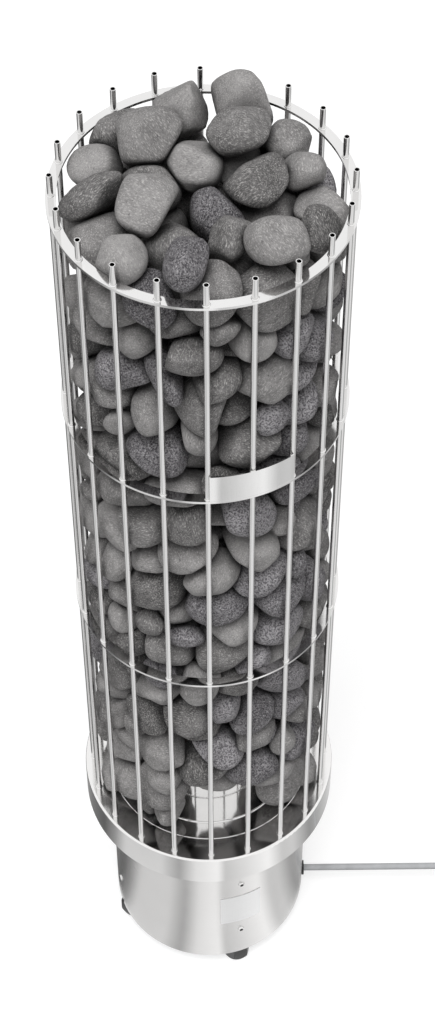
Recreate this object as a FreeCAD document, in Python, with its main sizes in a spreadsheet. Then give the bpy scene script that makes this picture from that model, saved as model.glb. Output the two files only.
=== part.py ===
"""Tower sauna heater: a round steel base, a tall cage of thin tubes and the stones that fill it.

Origin on the floor at the heater's axis, +Z up, front towards -Y, millimetres.
"""
import FreeCAD, Part
import math
import os
import random
import Sketcher

DOC = FreeCAD.newDocument("TowerHeater")

# Driving dimensions: alias, value in millimetres (or degrees, or a count), what it is
DIMENSIONS = (
    ("bar_edge", 10, "middle of a cage tube inside the flange's edge"),
    ("bar_count", 20, "number of cage tubes"),
    ("bar_dia", 6, "outside diameter of a cage tube"),
    ("bar_wall", 0.8, "wall of a cage tube"),
    ("bar_height", 980, "cage tube above the deck"),
    ("bar_fit", 0.1, "play of a tube in its holes, on the radius"),
    ("hoop_width", 10, "flat hoop, inner edge to outer edge"),
    ("hoop_thick", 3, "flat hoop thickness"),
    ("hoop_low", 363, "top face of the low hoop above the deck"),
    ("hoop_mid", 680, "top face of the middle hoop above the deck"),
    ("hoop_high", 955, "top face of the high hoop above the deck"),
    ("plate_angle", 35, "angle that the front plate spans"),
    ("plate_height", 37, "front plate height"),
    ("plate_thick", 1.5, "front plate thickness"),
    ("plate_gap", 0.3, "front plate to the tubes behind it"),
    ("foot_height", 28, "height of a foot pad with the foot screwed in"),
    ("shell_height", 290, "base shell from its lower edge to the deck"),
    ("shell_dia", 240, "base shell outside diameter"),
    ("shell_wall", 1.5, "base shell wall"),
    ("sheet_fit", 0.1, "play between sheet parts that are welded or pushed together"),
    ("flange_dia", 300, "flange outside diameter"),
    ("flange_height", 49, "flange skirt, deck to lower edge"),
    ("flange_wall", 2, "flange sheet thickness"),
    ("flange_round", 3, "rounding of the flange's outer bend"),
    ("deck_thick", 3, "inner deck thickness"),
    ("collar_dia", 160, "collar outside diameter"),
    ("collar_height", 85, "collar above the deck"),
    ("collar_wall", 1.5, "collar wall"),
    ("collar_foot_dia", 194, "outside diameter of the collar's foot ring"),
    ("collar_foot_thick", 0.6, "thickness of the collar's foot ring"),
    ("element_count", 3, "number of heating elements"),
    ("element_dia", 8, "heating element tube"),
    ("element_circle_dia", 116, "circle through the element legs"),
    ("element_height", 870, "top of an element above the deck"),
    ("element_turn", 15, "first element leg, from the front"),
    ("element_fit", 0.15, "play of an element leg in the deck and its nut"),
    ("element_tail", 26, "element leg below the deck's top face"),
    ("pin_dia", 4, "terminal pin of an element"),
    ("pin_length", 12, "terminal pin below the leg"),
    ("element_nut_width", 17, "element nut across its corners"),
    ("element_nut_height", 8, "element nut height"),
    ("floor_thick", 2, "bottom plate thickness"),
    ("tie_width", 20, "tie strip width"),
    ("tie_thick", 2, "tie strip thickness"),
    ("tie_gap", 0.5, "tie strip to the shell at its middle line"),
    ("screw_low", 86, "low row of shell screws above the floor"),
    ("screw_high", 199, "high row of shell screws above the floor"),
    ("screw_dia", 4, "shell screw shank"),
    ("screw_head_dia", 8, "shell screw head"),
    ("screw_head_height", 2.4, "shell screw head"),
    ("screw_length", 8, "shell screw under its head"),
    ("screw_fit", 0.15, "play of a shell screw in its holes, on the radius"),
    ("screw_seat", 0.08, "flat head above the curved shell"),
    ("label_width_angle", 25, "angle that the bare label plate spans"),
    ("label_height", 62, "bare label plate height"),
    ("label_thick", 0.6, "bare label plate thickness"),
    ("label_glue", 0.15, "glue under the label plate"),
    ("label_middle", 140, "middle of the label plate above the floor"),
    ("foot_inset", 16, "middle of a foot inside the shell's outside"),
    ("foot_corner_dia", 36, "hexagonal foot pad across its corners"),
    ("foot_toe_dia", 27, "round underside of a foot pad"),
    ("foot_toe_height", 8, "height of a foot pad's tapered toe"),
    ("foot_gap", 0.3, "foot pad to the bottom plate when screwed in"),
    ("stud_dia", 10, "foot stud"),
    ("stud_length", 44, "foot stud above its pad"),
    ("stud_fit", 0.3, "play of a stud in its plate and nut, on the radius"),
    ("foot_nut_width", 19, "nut of a foot across its corners"),
    ("foot_nut_height", 9, "nut of a foot"),
    ("block_length", 78, "terminal block"),
    ("block_width", 34, "terminal block"),
    ("block_height", 30, "terminal block"),
    ("lead_dia", 3.6, "inner lead"),
    ("lead_bend", 12, "bend of an inner lead, centre line"),
    ("cable_dia", 8.5, "supply cable"),
    ("cable_angle", -18.7, "direction of the supply cable, from +X"),
    ("cable_middle", 40, "middle of the supply cable above the floor"),
    ("cable_end", 325, "end of the supply cable from the axis"),
    ("grommet_dia", 14, "grommet where it fills the shell's hole"),
    ("grommet_head_dia", 19, "grommet flange"),
    ("grommet_head", 2.5, "grommet flange thickness"),
    ("gland_dia", 22, "wall gland across its corners"),
    ("gland_nut_length", 18, "hexagonal part of the wall gland, on the cable's end"),
    ("gland_nose_dia", 16, "round nose of the wall gland"),
    ("gland_nose_length", 12, "round nose of the wall gland, past the cable's end"),
    ("cable_fit", 0.1, "play of the cable in grommet and gland, on the radius"),
    ("stone_gap", 0.35, "least room between neighbouring stones"),
    ("stone_long_min", 25, "shortest long half axis of a stone"),
    ("stone_long_max", 35, "longest long half axis of a stone"),
    ("core_long_min", 38, "shortest long half axis of a core stone"),
    ("core_long_max", 45, "longest long half axis of a core stone"),
    ("tuck_long_min", 15, "shortest long half axis of a small stone in a gap"),
    ("tuck_long_max", 27, "longest long half axis of a small stone in a gap"),
    ("stone_hoop_room", 0.5, "stones to the hoops' inner edge"),
    ("crown_edge", 16, "stones at the tubes above the high hoop"),
    ("crown_rise", 25, "stones in the middle above those at the tubes"),
    ("crown_back", 14, "stones at the back above those in the middle"),
    ("core_cover", 95, "crown above the core stones"),
    ("crown_pit", 54, "heap lower where the crown's upright stones stand"),
)
QUARTERS = ("front", "right", "back", "left")
SHEET = DOC.addObject("Spreadsheet::Sheet", "Dims")


def fill_sheet():
    """Write the driving dimensions into the sheet, one aliased cell each."""
    for row, (alias, number, note) in enumerate(DIMENSIONS, start=1):
        SHEET.set("A%d" % row, note)
        SHEET.set("B%d" % row, str(number))
        SHEET.setAlias("B%d" % row, alias)
    DOC.recompute()


def size(alias):
    """The number that the sheet holds under an alias."""
    return float(getattr(SHEET, alias))


def bind(obj, **expressions):
    """Bind an object's properties to expressions in the sheet's aliases (d. stands for the sheet)."""
    for name, expression in expressions.items():
        obj.setExpression(name.replace("__", "."), expression.replace("d.", "Dims."))
    return obj


def place(obj, along_x="0", along_y="0", along_z="0", turn="0"):
    """Bind an object's place: three coordinates and a turn about the vertical."""
    obj.Placement = FreeCAD.Placement(FreeCAD.Vector(), FreeCAD.Rotation(FreeCAD.Vector(0, 0, 1), 1))
    return bind(obj, Placement__Base__x=along_x, Placement__Base__y=along_y,
                Placement__Base__z=along_z, Placement__Rotation__Angle=turn)


def cylinder(name, radius, height, low="0"):
    """A bound upright cylinder whose foot is at the height low."""
    obj = DOC.addObject("Part::Cylinder", name)
    return place(bind(obj, Radius=radius, Height=height), along_z=low)


def prism(name, corner_radius, height, low="0"):
    """A bound upright hexagonal prism."""
    obj = DOC.addObject("Part::Prism", name)
    obj.Polygon = 6
    return place(bind(obj, Circumradius=corner_radius, Height=height), along_z=low)


def lying_cylinder(name, radius, length, start):
    """A bound cylinder along +X that begins at the distance start from the axis."""
    obj = DOC.addObject("Part::Cylinder", name)
    obj.Placement = FreeCAD.Placement(FreeCAD.Vector(), FreeCAD.Rotation(FreeCAD.Vector(0, 1, 0), 90))
    return bind(obj, Radius=radius, Height=length, Placement__Base__x=start)


def cut(name, base, tool):
    """Base with the tool taken away."""
    obj = DOC.addObject("Part::Cut", name)
    obj.Base = base
    obj.Tool = tool
    return obj


def common(name, base, tool):
    """What two shapes have in common."""
    obj = DOC.addObject("Part::Common", name)
    obj.Base = base
    obj.Tool = tool
    return obj


def fuse(name, shapes):
    """Several shapes as one."""
    obj = DOC.addObject("Part::MultiFuse", name)
    obj.Shapes = shapes
    return obj


def group(name, shapes):
    """Several separate solids as one object."""
    obj = DOC.addObject("Part::Compound", name)
    obj.Links = shapes
    return obj


# Heights and circles that several pieces share
DECK = "(d.foot_height + d.shell_height)"
FLOOR = "d.foot_height"
SHELL_IN = "(d.shell_dia / 2 - d.shell_wall)"
BAR_CIRCLE = "(d.flange_dia / 2 - d.bar_edge)"
FOOT_CIRCLE = "(d.shell_dia / 2 - d.foot_inset)"
OVERSHOOT = "2"


def tube(name, outside, wall, height, low):
    """A round tube, open at both ends."""
    skin = cylinder(name + "_skin", outside, height)
    bore = cylinder(name + "_bore", "%s - %s" % (outside, wall),
                    "%s + 2 * %s" % (height, OVERSHOOT), "-" + OVERSHOOT)
    return place(cut(name, skin, bore), along_z=low)


def number(expression):
    """An expression's value now, for a sketch's first drawing."""
    return float(SHEET.evalExpression(expression.replace("d.", "Dims.")))


def body(name, low, turn="0"):
    """An empty body whose own origin is at a height and a turn."""
    return place(DOC.addObject("PartDesign::Body", name), along_z=low, turn=turn)


def circles(owner, name, rings):
    """A sketch of circles on the body's ground plane: (distance from the axis, radius) each."""
    sketch = owner.newObject("Sketcher::SketchObject", name)
    ground = [plane for plane in owner.Origin.OriginFeatures if plane.Role == "XY_Plane"][0]
    sketch.AttachmentSupport = (ground, [""])
    sketch.MapMode = "FlatFace"
    for away, radius in rings:
        centre = FreeCAD.Vector(number(away), 0, 0)
        drawn = sketch.addGeometry(Part.Circle(centre, FreeCAD.Vector(0, 0, 1), number(radius)), False)
        held = sketch.addConstraint(Sketcher.Constraint("Radius", drawn, number(radius)))
        bind(sketch, **{"Constraints[%d]" % held: radius})
        if number(away) == 0:
            sketch.addConstraint(Sketcher.Constraint("Coincident", drawn, 3, -1, 1))
            continue
        sketch.addConstraint(Sketcher.Constraint("PointOnObject", drawn, 3, -1))
        held = sketch.addConstraint(Sketcher.Constraint("DistanceX", -1, 1, drawn, 3, number(away)))
        bind(sketch, **{"Constraints[%d]" % held: away})
    return sketch


def pad(owner, name, sketch, height):
    """Raise a sketch to a height."""
    feature = owner.newObject("PartDesign::Pad", name)
    feature.Profile = sketch
    return bind(feature, Length=height)


def pocket(owner, name, sketch, depth=None):
    """Cut a sketch upwards out of the body, right through or to a depth."""
    feature = owner.newObject("PartDesign::Pocket", name)
    feature.Profile = sketch
    feature.Reversed = True
    if depth is None:
        feature.Type = "ThroughAll"
        return feature
    return bind(feature, Length=depth)


def polar(owner, name, feature, sketch, count):
    """Repeat a feature round the body's axis."""
    pattern = owner.newObject("PartDesign::PolarPattern", name)
    pattern.Originals = [feature]
    pattern.Axis = (sketch, ["N_Axis"])
    pattern.Angle = 360
    bind(pattern, Occurrences=count)
    owner.Tip = pattern


def drill_ring(owner, name, circle_radius, hole_radius, count):
    """A ring of through holes."""
    sketch = circles(owner, name + "_sketch", [(circle_radius, hole_radius)])
    hole = pocket(owner, name, sketch)
    polar(owner, name + "_ring", hole, sketch, count)


def make_bars():
    """The cage tubes: each stands through its hole in the flange and ends flush below it."""
    names = []
    for index in range(int(size("bar_count"))):
        name = "cage_bar_%02d" % (index + 1)
        angle = "(%d * 360 / d.bar_count - 90)" % index
        bar = tube(name, "d.bar_dia / 2", "d.bar_wall", "(d.bar_height + d.flange_wall)", "0")
        place(bar, "%s * cos(%s)" % (BAR_CIRCLE, angle), "%s * sin(%s)" % (BAR_CIRCLE, angle),
              DECK + " - d.flange_wall")
        names.append(name)
    return names


def make_hoops():
    """Three flat hoops with a hole for each tube."""
    names = []
    for name in ("hoop_low", "hoop_mid", "hoop_high"):
        owner = body(name, "%s + d.%s - d.hoop_thick" % (DECK, name))
        inner = BAR_CIRCLE + " - d.hoop_width / 2"
        outer = BAR_CIRCLE + " + d.hoop_width / 2"
        pad(owner, name + "_flat", circles(owner, name + "_edges", [("0", inner), ("0", outer)]),
            "d.hoop_thick")
        drill_ring(owner, name + "_hole", BAR_CIRCLE, "d.bar_dia / 2 + d.bar_fit", "d.bar_count")
        names.append(name)
    return names


def curved_plate(name, inside, thick, height, angle, low):
    """A sheet bent to a radius, its middle at the front."""
    skin = cylinder(name + "_skin", "%s + %s" % (inside, thick), height)
    bind(skin, Angle=angle)
    hollow = cylinder(name + "_hollow", inside, "%s + 2 * %s" % (height, OVERSHOOT), "-" + OVERSHOOT)
    place(cut(name, skin, hollow), along_z=low, turn="-90 - %s / 2" % angle)
    return [name]


def make_front_plate():
    """The bare plate that stands on the middle hoop in front of the tubes."""
    return curved_plate("front_plate", "(%s + d.bar_dia / 2 + d.plate_gap)" % BAR_CIRCLE, "d.plate_thick",
                        "d.plate_height", "d.plate_angle", DECK + " + d.hoop_mid")


def make_label_plate():
    """The small bare plate on the front of the shell, between its two screws."""
    return curved_plate("label_plate", "(d.shell_dia / 2 + d.label_glue)", "d.label_thick", "d.label_height",
                        "d.label_width_angle", "d.label_middle - d.label_height / 2")


def make_flange():
    """The flange: a flat rim round the shell's top, its outer edge turned down into a skirt."""
    owner = body("flange", DECK + " - d.flange_height")
    blank = pad(owner, "flange_blank", circles(owner, "flange_edge", [("0", "d.flange_dia / 2")]),
                "d.flange_height")
    DOC.recompute()
    rim = [index for index, edge in enumerate(blank.Shape.Edges, start=1)
           if edge.BoundBox.ZMin > size("flange_height") / 2]
    bend = owner.newObject("PartDesign::Fillet", "flange_bend")
    bend.Base = (blank, ["Edge%d" % index for index in rim])
    bind(bend, Radius="d.flange_round")
    inside = circles(owner, "flange_inside_sketch", [("0", "d.flange_dia / 2 - d.flange_wall")])
    pocket(owner, "flange_inside", inside, "d.flange_height - d.flange_wall")
    mouth = circles(owner, "flange_mouth_sketch", [("0", "d.shell_dia / 2 + d.sheet_fit")])
    pocket(owner, "flange_mouth", mouth)
    drill_ring(owner, "flange_hole", BAR_CIRCLE, "d.bar_dia / 2 + d.bar_fit", "d.bar_count")
    return ["flange"]


def across(name, parts, turn, height):
    """Lying pieces as one object at a height, pointing outwards at a turn."""
    return place(group(name, parts), along_z=height, turn=turn)


def at_quarters(row):
    """Each quarter's number, name and turn, for what stands at the front, right, back and left."""
    return [(row + "_" + side, "%d" % (90 * index - 90)) for index, side in enumerate(QUARTERS)]


def screw_drills(prefix):
    """Cylinders that drill every shell screw's hole."""
    drills = []
    for row in ("screw_low", "screw_high"):
        for name, turn in at_quarters(prefix + "_" + row):
            drill = lying_cylinder(name + "_core", "d.screw_dia / 2 + d.screw_fit",
                                   "d.screw_length + 4 * " + OVERSHOOT,
                                   "d.shell_dia / 2 - d.screw_length - 2 * " + OVERSHOOT)
            drills.append(across(name, [drill], turn, "d." + row))
    return drills


def make_shell():
    """The base shell with its screw holes and the cable's hole."""
    wall = tube("shell_wall_tube", "d.shell_dia / 2", "d.shell_wall", "d.shell_height", FLOOR)
    hole = lying_cylinder("shell_cable_core", "d.grommet_dia / 2 + d.sheet_fit", "d.shell_dia / 4",
                          "d.shell_dia / 2 - d.shell_dia / 8")
    drills = screw_drills("shell") + [across("shell_cable_hole", [hole], "d.cable_angle", "d.cable_middle")]
    cut("base_shell", wall, group("shell_drills", drills))
    return ["base_shell"]


def make_deck():
    """The inner deck that carries the heating elements, and the collar on it with a thin foot ring."""
    owner = body("inner_deck", DECK + " - d.deck_thick", "d.element_turn - 90")
    pad(owner, "inner_deck_disc", circles(owner, "inner_deck_edge", [("0", SHELL_IN + " - d.sheet_fit")]),
        "d.deck_thick")
    drill_ring(owner, "inner_deck_hole", "d.element_circle_dia / 2", "d.element_dia / 2 + d.element_fit",
               "2 * d.element_count")
    wall = tube("collar_tube", "d.collar_dia / 2", "d.collar_wall", "d.collar_height", DECK)
    ring = tube("collar_foot", "d.collar_foot_dia / 2",
                "((d.collar_foot_dia - d.collar_dia) / 2 + d.collar_wall)", "d.collar_foot_thick", DECK)
    fuse("collar", [wall, ring])
    return ["inner_deck", "collar"]


def leg_turn(index):
    """The turn of an element leg about the axis."""
    return "(d.element_turn - 90 + %d * 180 / d.element_count)" % index


def make_elements():
    """Hairpin heating elements: two legs, a round bend on top and a terminal pin below each leg."""
    names = []
    half_step = "(90 / d.element_count)"
    half_chord = "(d.element_circle_dia / 2 * sin(%s))" % half_step
    middle = "(d.element_circle_dia / 2 * cos(%s))" % half_step
    radius = "d.element_dia / 2"
    straight = "(d.element_height - %s - %s)" % (half_chord, radius)
    for index in range(int(size("element_count"))):
        name = "heating_element_%d" % (index + 1)
        bend = DOC.addObject("Part::Torus", name + "_bend")
        bend.Angle3 = 180
        bend.Placement = FreeCAD.Placement(FreeCAD.Vector(), FreeCAD.Rotation(FreeCAD.Vector(1, 1, 1), 120))
        bind(bend, Radius1=half_chord, Radius2=radius, Placement__Base__x=middle, Placement__Base__z=straight)
        pieces = [bend]
        for side in ("-", ""):
            mark = "a" if side else "b"
            leg = cylinder(name + "_leg_" + mark, radius, straight + " + d.element_tail")
            place(leg, middle, side + half_chord, "-d.element_tail")
            pin = cylinder(name + "_pin_" + mark, "d.pin_dia / 2", "d.pin_length")
            place(pin, middle, side + half_chord, "-d.element_tail - d.pin_length")
            pieces += [leg, pin]
        place(fuse(name, pieces), along_z=DECK, turn="%s + %s" % (leg_turn(2 * index), half_step))
        names.append(name)
    nuts = []
    for index in range(2 * int(size("element_count"))):
        turn = leg_turn(index)
        name = "element_nut_%d" % (index + 1)
        blank = prism(name + "_blank", "d.element_nut_width / 2", "d.element_nut_height")
        bore = cylinder(name + "_bore", radius + " + d.element_fit",
                        "d.element_nut_height + 2 * " + OVERSHOOT, "-" + OVERSHOOT)
        nut = place(cut(name, blank, bore), "d.element_circle_dia / 2 * cos(%s)" % turn,
                    "d.element_circle_dia / 2 * sin(%s)" % turn,
                    DECK + " - d.deck_thick - d.element_nut_height", turn)
        nuts.append(nut)
    group("element_nuts", nuts)
    return names + ["element_nuts"]


def make_floor():
    """The bottom plate with the foot nuts on it, and the tie strips that hold it to the deck."""
    plate = cylinder("floor_disc", SHELL_IN + " - d.sheet_fit", "d.floor_thick", FLOOR)
    drills, nuts, ties = [], [], []
    for name, turn in at_quarters("foot_hole"):
        x_place = "%s * cos(%s)" % (FOOT_CIRCLE, turn)
        y_place = "%s * sin(%s)" % (FOOT_CIRCLE, turn)
        drill = cylinder(name, "d.stud_dia / 2 + d.stud_fit", "d.floor_thick + 2 * " + OVERSHOOT)
        drills.append(place(drill, x_place, y_place, FLOOR + " - " + OVERSHOOT))
        blank = prism(name + "_nut_blank", "d.foot_nut_width / 2", "d.foot_nut_height")
        bore = cylinder(name + "_nut_bore", "d.stud_dia / 2 + d.stud_fit",
                        "d.foot_nut_height + 2 * " + OVERSHOOT, "-" + OVERSHOOT)
        nuts.append(place(cut(name + "_nut", blank, bore), x_place, y_place, FLOOR + " + d.floor_thick"))
    cut("bottom_plate", plate, group("floor_drills", drills))
    group("foot_nuts", nuts)
    for name, turn in at_quarters("tie"):
        strip = DOC.addObject("Part::Box", name + "_strip")
        bind(strip, Length="d.tie_thick", Width="d.tie_width",
             Height="d.shell_height - d.floor_thick - d.deck_thick",
             Placement__Base__x=SHELL_IN + " - d.tie_gap - d.tie_thick",
             Placement__Base__y="-d.tie_width / 2")
        ties.append(across(name, [strip], turn, FLOOR + " + d.floor_thick"))
    cut("tie_strips", group("tie_blanks", ties), group("tie_drills", screw_drills("tie")))
    return ["bottom_plate", "foot_nuts", "tie_strips"]


def make_screws():
    """Dome-headed screws that hold the shell to the tie strips."""
    screws = []
    for row in ("screw_low", "screw_high"):
        for name, turn in at_quarters(row):
            seat = "d.shell_dia / 2 + d.screw_seat"
            dome = DOC.addObject("Part::Ellipsoid", name + "_dome")
            dome.Placement.Rotation = FreeCAD.Rotation(FreeCAD.Vector(0, 1, 0), 90)
            dome.Angle1 = 0
            bind(dome, Radius1="d.screw_head_height", Radius2="d.screw_head_dia / 2",
                 Radius3="d.screw_head_dia / 2", Placement__Base__x=seat)
            shank = lying_cylinder(name + "_shank", "d.screw_dia / 2", "d.screw_length + d.screw_seat",
                                   "d.shell_dia / 2 - d.screw_length")
            screws.append(place(fuse(name, [dome, shank]), along_z="d." + row, turn=turn))
    group("shell_screws", screws)
    return ["shell_screws"]


def make_feet():
    """Levelling feet: a hexagonal pad with a tapered toe, on a stud that runs up through its nut."""
    names = []
    slope = "(d.foot_corner_dia - d.foot_toe_dia) / 2 / d.foot_toe_height"
    wide = "d.foot_toe_dia / 2 + %s * (d.foot_height - d.foot_gap)" % slope
    for index, side in enumerate(QUARTERS):
        turn = "%d" % (90 * index - 90)
        x_place = "%s * cos(%s)" % (FOOT_CIRCLE, turn)
        y_place = "%s * sin(%s)" % (FOOT_CIRCLE, turn)
        pad_name = "foot_pad_" + side
        stud_name = "foot_stud_" + side
        blank = prism(pad_name + "_blank", "d.foot_corner_dia / 2", "d.foot_height - d.foot_gap")
        taper = DOC.addObject("Part::Cone", pad_name + "_taper")
        bind(taper, Radius1="d.foot_toe_dia / 2", Height="d.foot_height - d.foot_gap", Radius2=wide)
        place(common(pad_name, blank, taper), x_place, y_place)
        place(cylinder(stud_name, "d.stud_dia / 2", "d.stud_length"), x_place, y_place,
              "d.foot_height - d.foot_gap")
        names += [pad_name, stud_name]
    return names


def bent_lead(points, radius, bend):
    """A round lead along straight runs with an arc of the radius bend in each corner."""
    vectors = [FreeCAD.Vector(*point) for point in points]
    edges = []
    start = vectors[0]
    for before, corner, after in zip(vectors, vectors[1:], vectors[2:]):
        inward = (before - corner).normalize()
        onward = (after - corner).normalize()
        half_turn = (math.pi - inward.getAngle(onward)) / 2
        back = bend * math.tan(half_turn)
        middle = (inward + onward).normalize() * (bend / math.cos(half_turn) - bend)
        edges.append(Part.LineSegment(start, corner + inward * back).toShape())
        edges.append(Part.Arc(corner + inward * back, corner + middle, corner + onward * back).toShape())
        start = corner + onward * back
    edges.append(Part.LineSegment(start, vectors[-1]).toShape())
    ring = Part.Wire([Part.makeCircle(radius, vectors[0], vectors[1] - vectors[0])])
    return Part.Wire(edges).makePipeShell([ring], True, False)


def make_wiring():
    """Terminal block on the bottom plate and a lead from it to every element pin."""
    count = 2 * int(size("element_count"))
    columns = count // 2
    pitch = size("block_length") / (columns + 0.5)
    top = size("foot_height") + size("floor_thick") + size("block_height")
    well = 2 * size("lead_dia")
    pins = size("foot_height") + size("shell_height") - size("element_tail") - size("pin_length")
    level = (top + pins) / 2
    turn = math.radians(size("cable_angle"))
    leads, wells = [], []
    for index in range(count):
        column = index if index < columns else count - 1 - index
        along = ((columns - 1) / 2 - column) * pitch
        side = size("block_width") / 4 if index < columns else -size("block_width") / 4
        slot_x = along * math.cos(turn) - side * math.sin(turn)
        slot_y = along * math.sin(turn) + side * math.cos(turn)
        leg = math.radians(size("element_turn") - 90 + (index + 1) * 180 / size("element_count"))
        leg_x = size("element_circle_dia") / 2 * math.cos(leg)
        leg_y = size("element_circle_dia") / 2 * math.sin(leg)
        route = [(leg_x, leg_y, pins), (leg_x, leg_y, level),
                 (slot_x, slot_y, level), (slot_x, slot_y, top - well)]
        leads.append(bent_lead(route, size("lead_dia") / 2, size("lead_bend")))
        wells.append(Part.makeCylinder(size("lead_dia") / 2 + size("cable_fit"), 2 * well,
                                       FreeCAD.Vector(slot_x, slot_y, top - well)))
    wires = DOC.addObject("Part::Feature", "element_leads")
    wires.Shape = Part.makeCompound(leads)
    blank = DOC.addObject("Part::Box", "block_blank")
    bind(blank, Length="d.block_length", Width="d.block_width", Height="d.block_height",
         Placement__Base__x="-d.block_length / 2", Placement__Base__y="-d.block_width / 2")
    drilled = DOC.addObject("Part::Feature", "block_wells")
    drilled.Shape = Part.makeCompound(wells)
    turned = across("block_turned", [blank], "d.cable_angle", FLOOR + " + d.floor_thick")
    cut("terminal_block", turned, drilled)
    return ["terminal_block", "element_leads"]


def make_cable():
    """The supply cable: level and straight from the terminal block, through its grommet, to a wall gland."""
    lie = "d.cable_angle"
    middle = "d.cable_middle"
    bore = "d.cable_dia / 2 + d.cable_fit"
    core = lying_cylinder("cable_core", "d.cable_dia / 2", "d.cable_end - d.block_length / 2",
                          "d.block_length / 2")
    across("supply_cable", [core], lie, middle)
    neck = lying_cylinder("grommet_neck", "d.grommet_dia / 2", "d.shell_wall + 2 * d.grommet_head",
                          "d.shell_dia / 2 - d.shell_wall - d.grommet_head")
    head = lying_cylinder("grommet_flange", "d.grommet_head_dia / 2", "d.grommet_head",
                          "d.shell_dia / 2 + d.screw_seat")
    hole = lying_cylinder("grommet_bore", bore, "d.shell_dia / 2", "d.shell_dia / 4")
    place(cut("cable_grommet", fuse("grommet_blank", [neck, head]), hole), along_z=middle, turn=lie)
    hexagon = DOC.addObject("Part::Prism", "gland_hexagon")
    hexagon.Polygon = 6
    hexagon.Placement = FreeCAD.Placement(FreeCAD.Vector(), FreeCAD.Rotation(FreeCAD.Vector(0, 1, 0), 90))
    bind(hexagon, Circumradius="d.gland_dia / 2", Height="d.gland_nut_length",
         Placement__Base__x="d.cable_end - d.gland_nut_length")
    nose = lying_cylinder("gland_nose", "d.gland_nose_dia / 2", "d.gland_nose_length", "d.cable_end")
    socket = lying_cylinder("gland_bore", bore, "d.gland_nut_length + " + OVERSHOOT,
                            "d.cable_end - d.gland_nut_length - " + OVERSHOOT)
    place(cut("cable_gland", fuse("gland_blank", [hexagon, nose]), socket), along_z=middle, turn=lie)
    return ["supply_cable", "cable_grommet", "cable_gland"]


# The stones: rounded, roughly ellipsoidal, laid one by one where each comes to rest lowest
STONE_SEED = 11
STONE_WIDTH_SHARE = (0.78, 0.95)
STONE_HEIGHT_SHARE = (0.64, 0.86)
CORE_SHARE = 0.13
WALL_SHARE = 0.55
FIRST_TRIES = 20
SETTLE_STEPS = 44
SETTLE_REACH = 16.0
SETTLE_TILT = 0.6
SETTLE_FADE = 0.92
GIVE_UP_AFTER = 40
COURSES = 5
POROUS_TURN = (-85.0, -55.0)
POROUS_SHARE_THERE = 0.7
POROUS_SHARE = 0.14
RIM_BEADS = 130
RIM_DEPTHS = (0, 6, 12, 18, 24)
WALL_SAMPLES = tuple(range(-70, 71, 10))
BEND_STEPS = 10
BEND_SOLID = 0.8
CORE_OUT = 0.35
LEAST_OUT = 0.1
NEWTON_STEPS = 8
LEAST_SLOPE = 0.02
CLOSE_ENOUGH = 0.01
PARTING_STEPS = 3
OPEN_TURN = (-135.0, -58.0)
OPEN_SAG = 6.0
UPRIGHT = (math.sqrt(0.5), 0.0, -math.sqrt(0.5), 0.0)
CROWN_TURNS = (86.0, 52.0)
CROWN_SPREAD = 6.0
CROWN_LEAN = 0.12
TUCK_TRIES = 26000
TUCK_STEPS = 60
TUCK_NEAREST = 0.3
TUCK_GROWTH = 1.05
TUCK_STRIDE = 2.0
TUCK_TILT = 0.12
TUCK_SINK = 0.25


def random_turn(dice):
    """A random orientation as a quaternion."""
    parts = [dice.gauss(0, 1) for _ in range(4)]
    length = math.sqrt(sum(part * part for part in parts))
    return [part / length for part in parts]


def tilted(turn, dice, amount):
    """An orientation moved a little at random."""
    parts = [part + dice.gauss(0, amount) for part in turn]
    length = math.sqrt(sum(part * part for part in parts))
    return [part / length for part in parts]


def directions(turn):
    """The three axis directions of an orientation."""
    w, x, y, z = turn
    return ((1 - 2 * (y * y + z * z), 2 * (x * y + w * z), 2 * (x * z - w * y)),
            (2 * (x * y - w * z), 1 - 2 * (x * x + z * z), 2 * (y * z + w * x)),
            (2 * (x * z + w * y), 2 * (y * z - w * x), 1 - 2 * (x * x + y * y)))


def form(axes, turn):
    """An ellipsoid's form matrix, as xx, xy, xz, yy, yz, zz."""
    entries = [0.0] * 6
    for half, (x, y, z) in zip(axes, directions(turn)):
        square = half * half
        for slot, product in enumerate((x * x, x * y, x * z, y * y, y * z, z * z)):
            entries[slot] += square * product
    return entries


def across_form(matrix, x, y, z):
    """The square of an ellipsoid's reach along a direction, times the direction's square."""
    xx, xy, xz, yy, yz, zz = matrix
    return xx * x * x + yy * y * y + zz * z * z + 2 * (xy * x * y + xz * x * z + yz * y * z)


def parting(matrix, other_form):
    """The matrix that turns the way between two ellipsoids' middles into a parting plane's direction."""
    xx, xy, xz, yy, yz, zz = [mine + theirs for mine, theirs in zip(matrix, other_form)]
    return (yy * zz - yz * yz, xz * yz - xy * zz, xy * yz - xz * yy,
            xx * zz - xz * xz, xy * xz - xx * yz, xx * yy - xy * xy)


def room_between(matrix, other_form, dx, dy, dz):
    """The room that is surely there between two ellipsoids, negative where there may be none."""
    rooms = []
    mine = theirs = 1.0
    for _ in range(PARTING_STEPS):
        inverse = parting([entry / mine for entry in matrix], [entry / theirs for entry in other_form])
        ux = inverse[0] * dx + inverse[1] * dy + inverse[2] * dz
        uy = inverse[1] * dx + inverse[3] * dy + inverse[4] * dz
        uz = inverse[2] * dx + inverse[4] * dy + inverse[5] * dz
        length = math.sqrt(ux * ux + uy * uy + uz * uz)
        mine = math.sqrt(across_form(matrix, ux, uy, uz)) / length
        theirs = math.sqrt(across_form(other_form, ux, uy, uz)) / length
        rooms.append((dx * ux + dy * uy + dz * uz) / length - mine - theirs)
    return max(rooms)


def half_axes(dice, half):
    """A stone's three half axes from its longest one."""
    width = half * dice.uniform(*STONE_WIDTH_SHARE)
    return (half, width, width * dice.uniform(*STONE_HEIGHT_SHARE))


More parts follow.
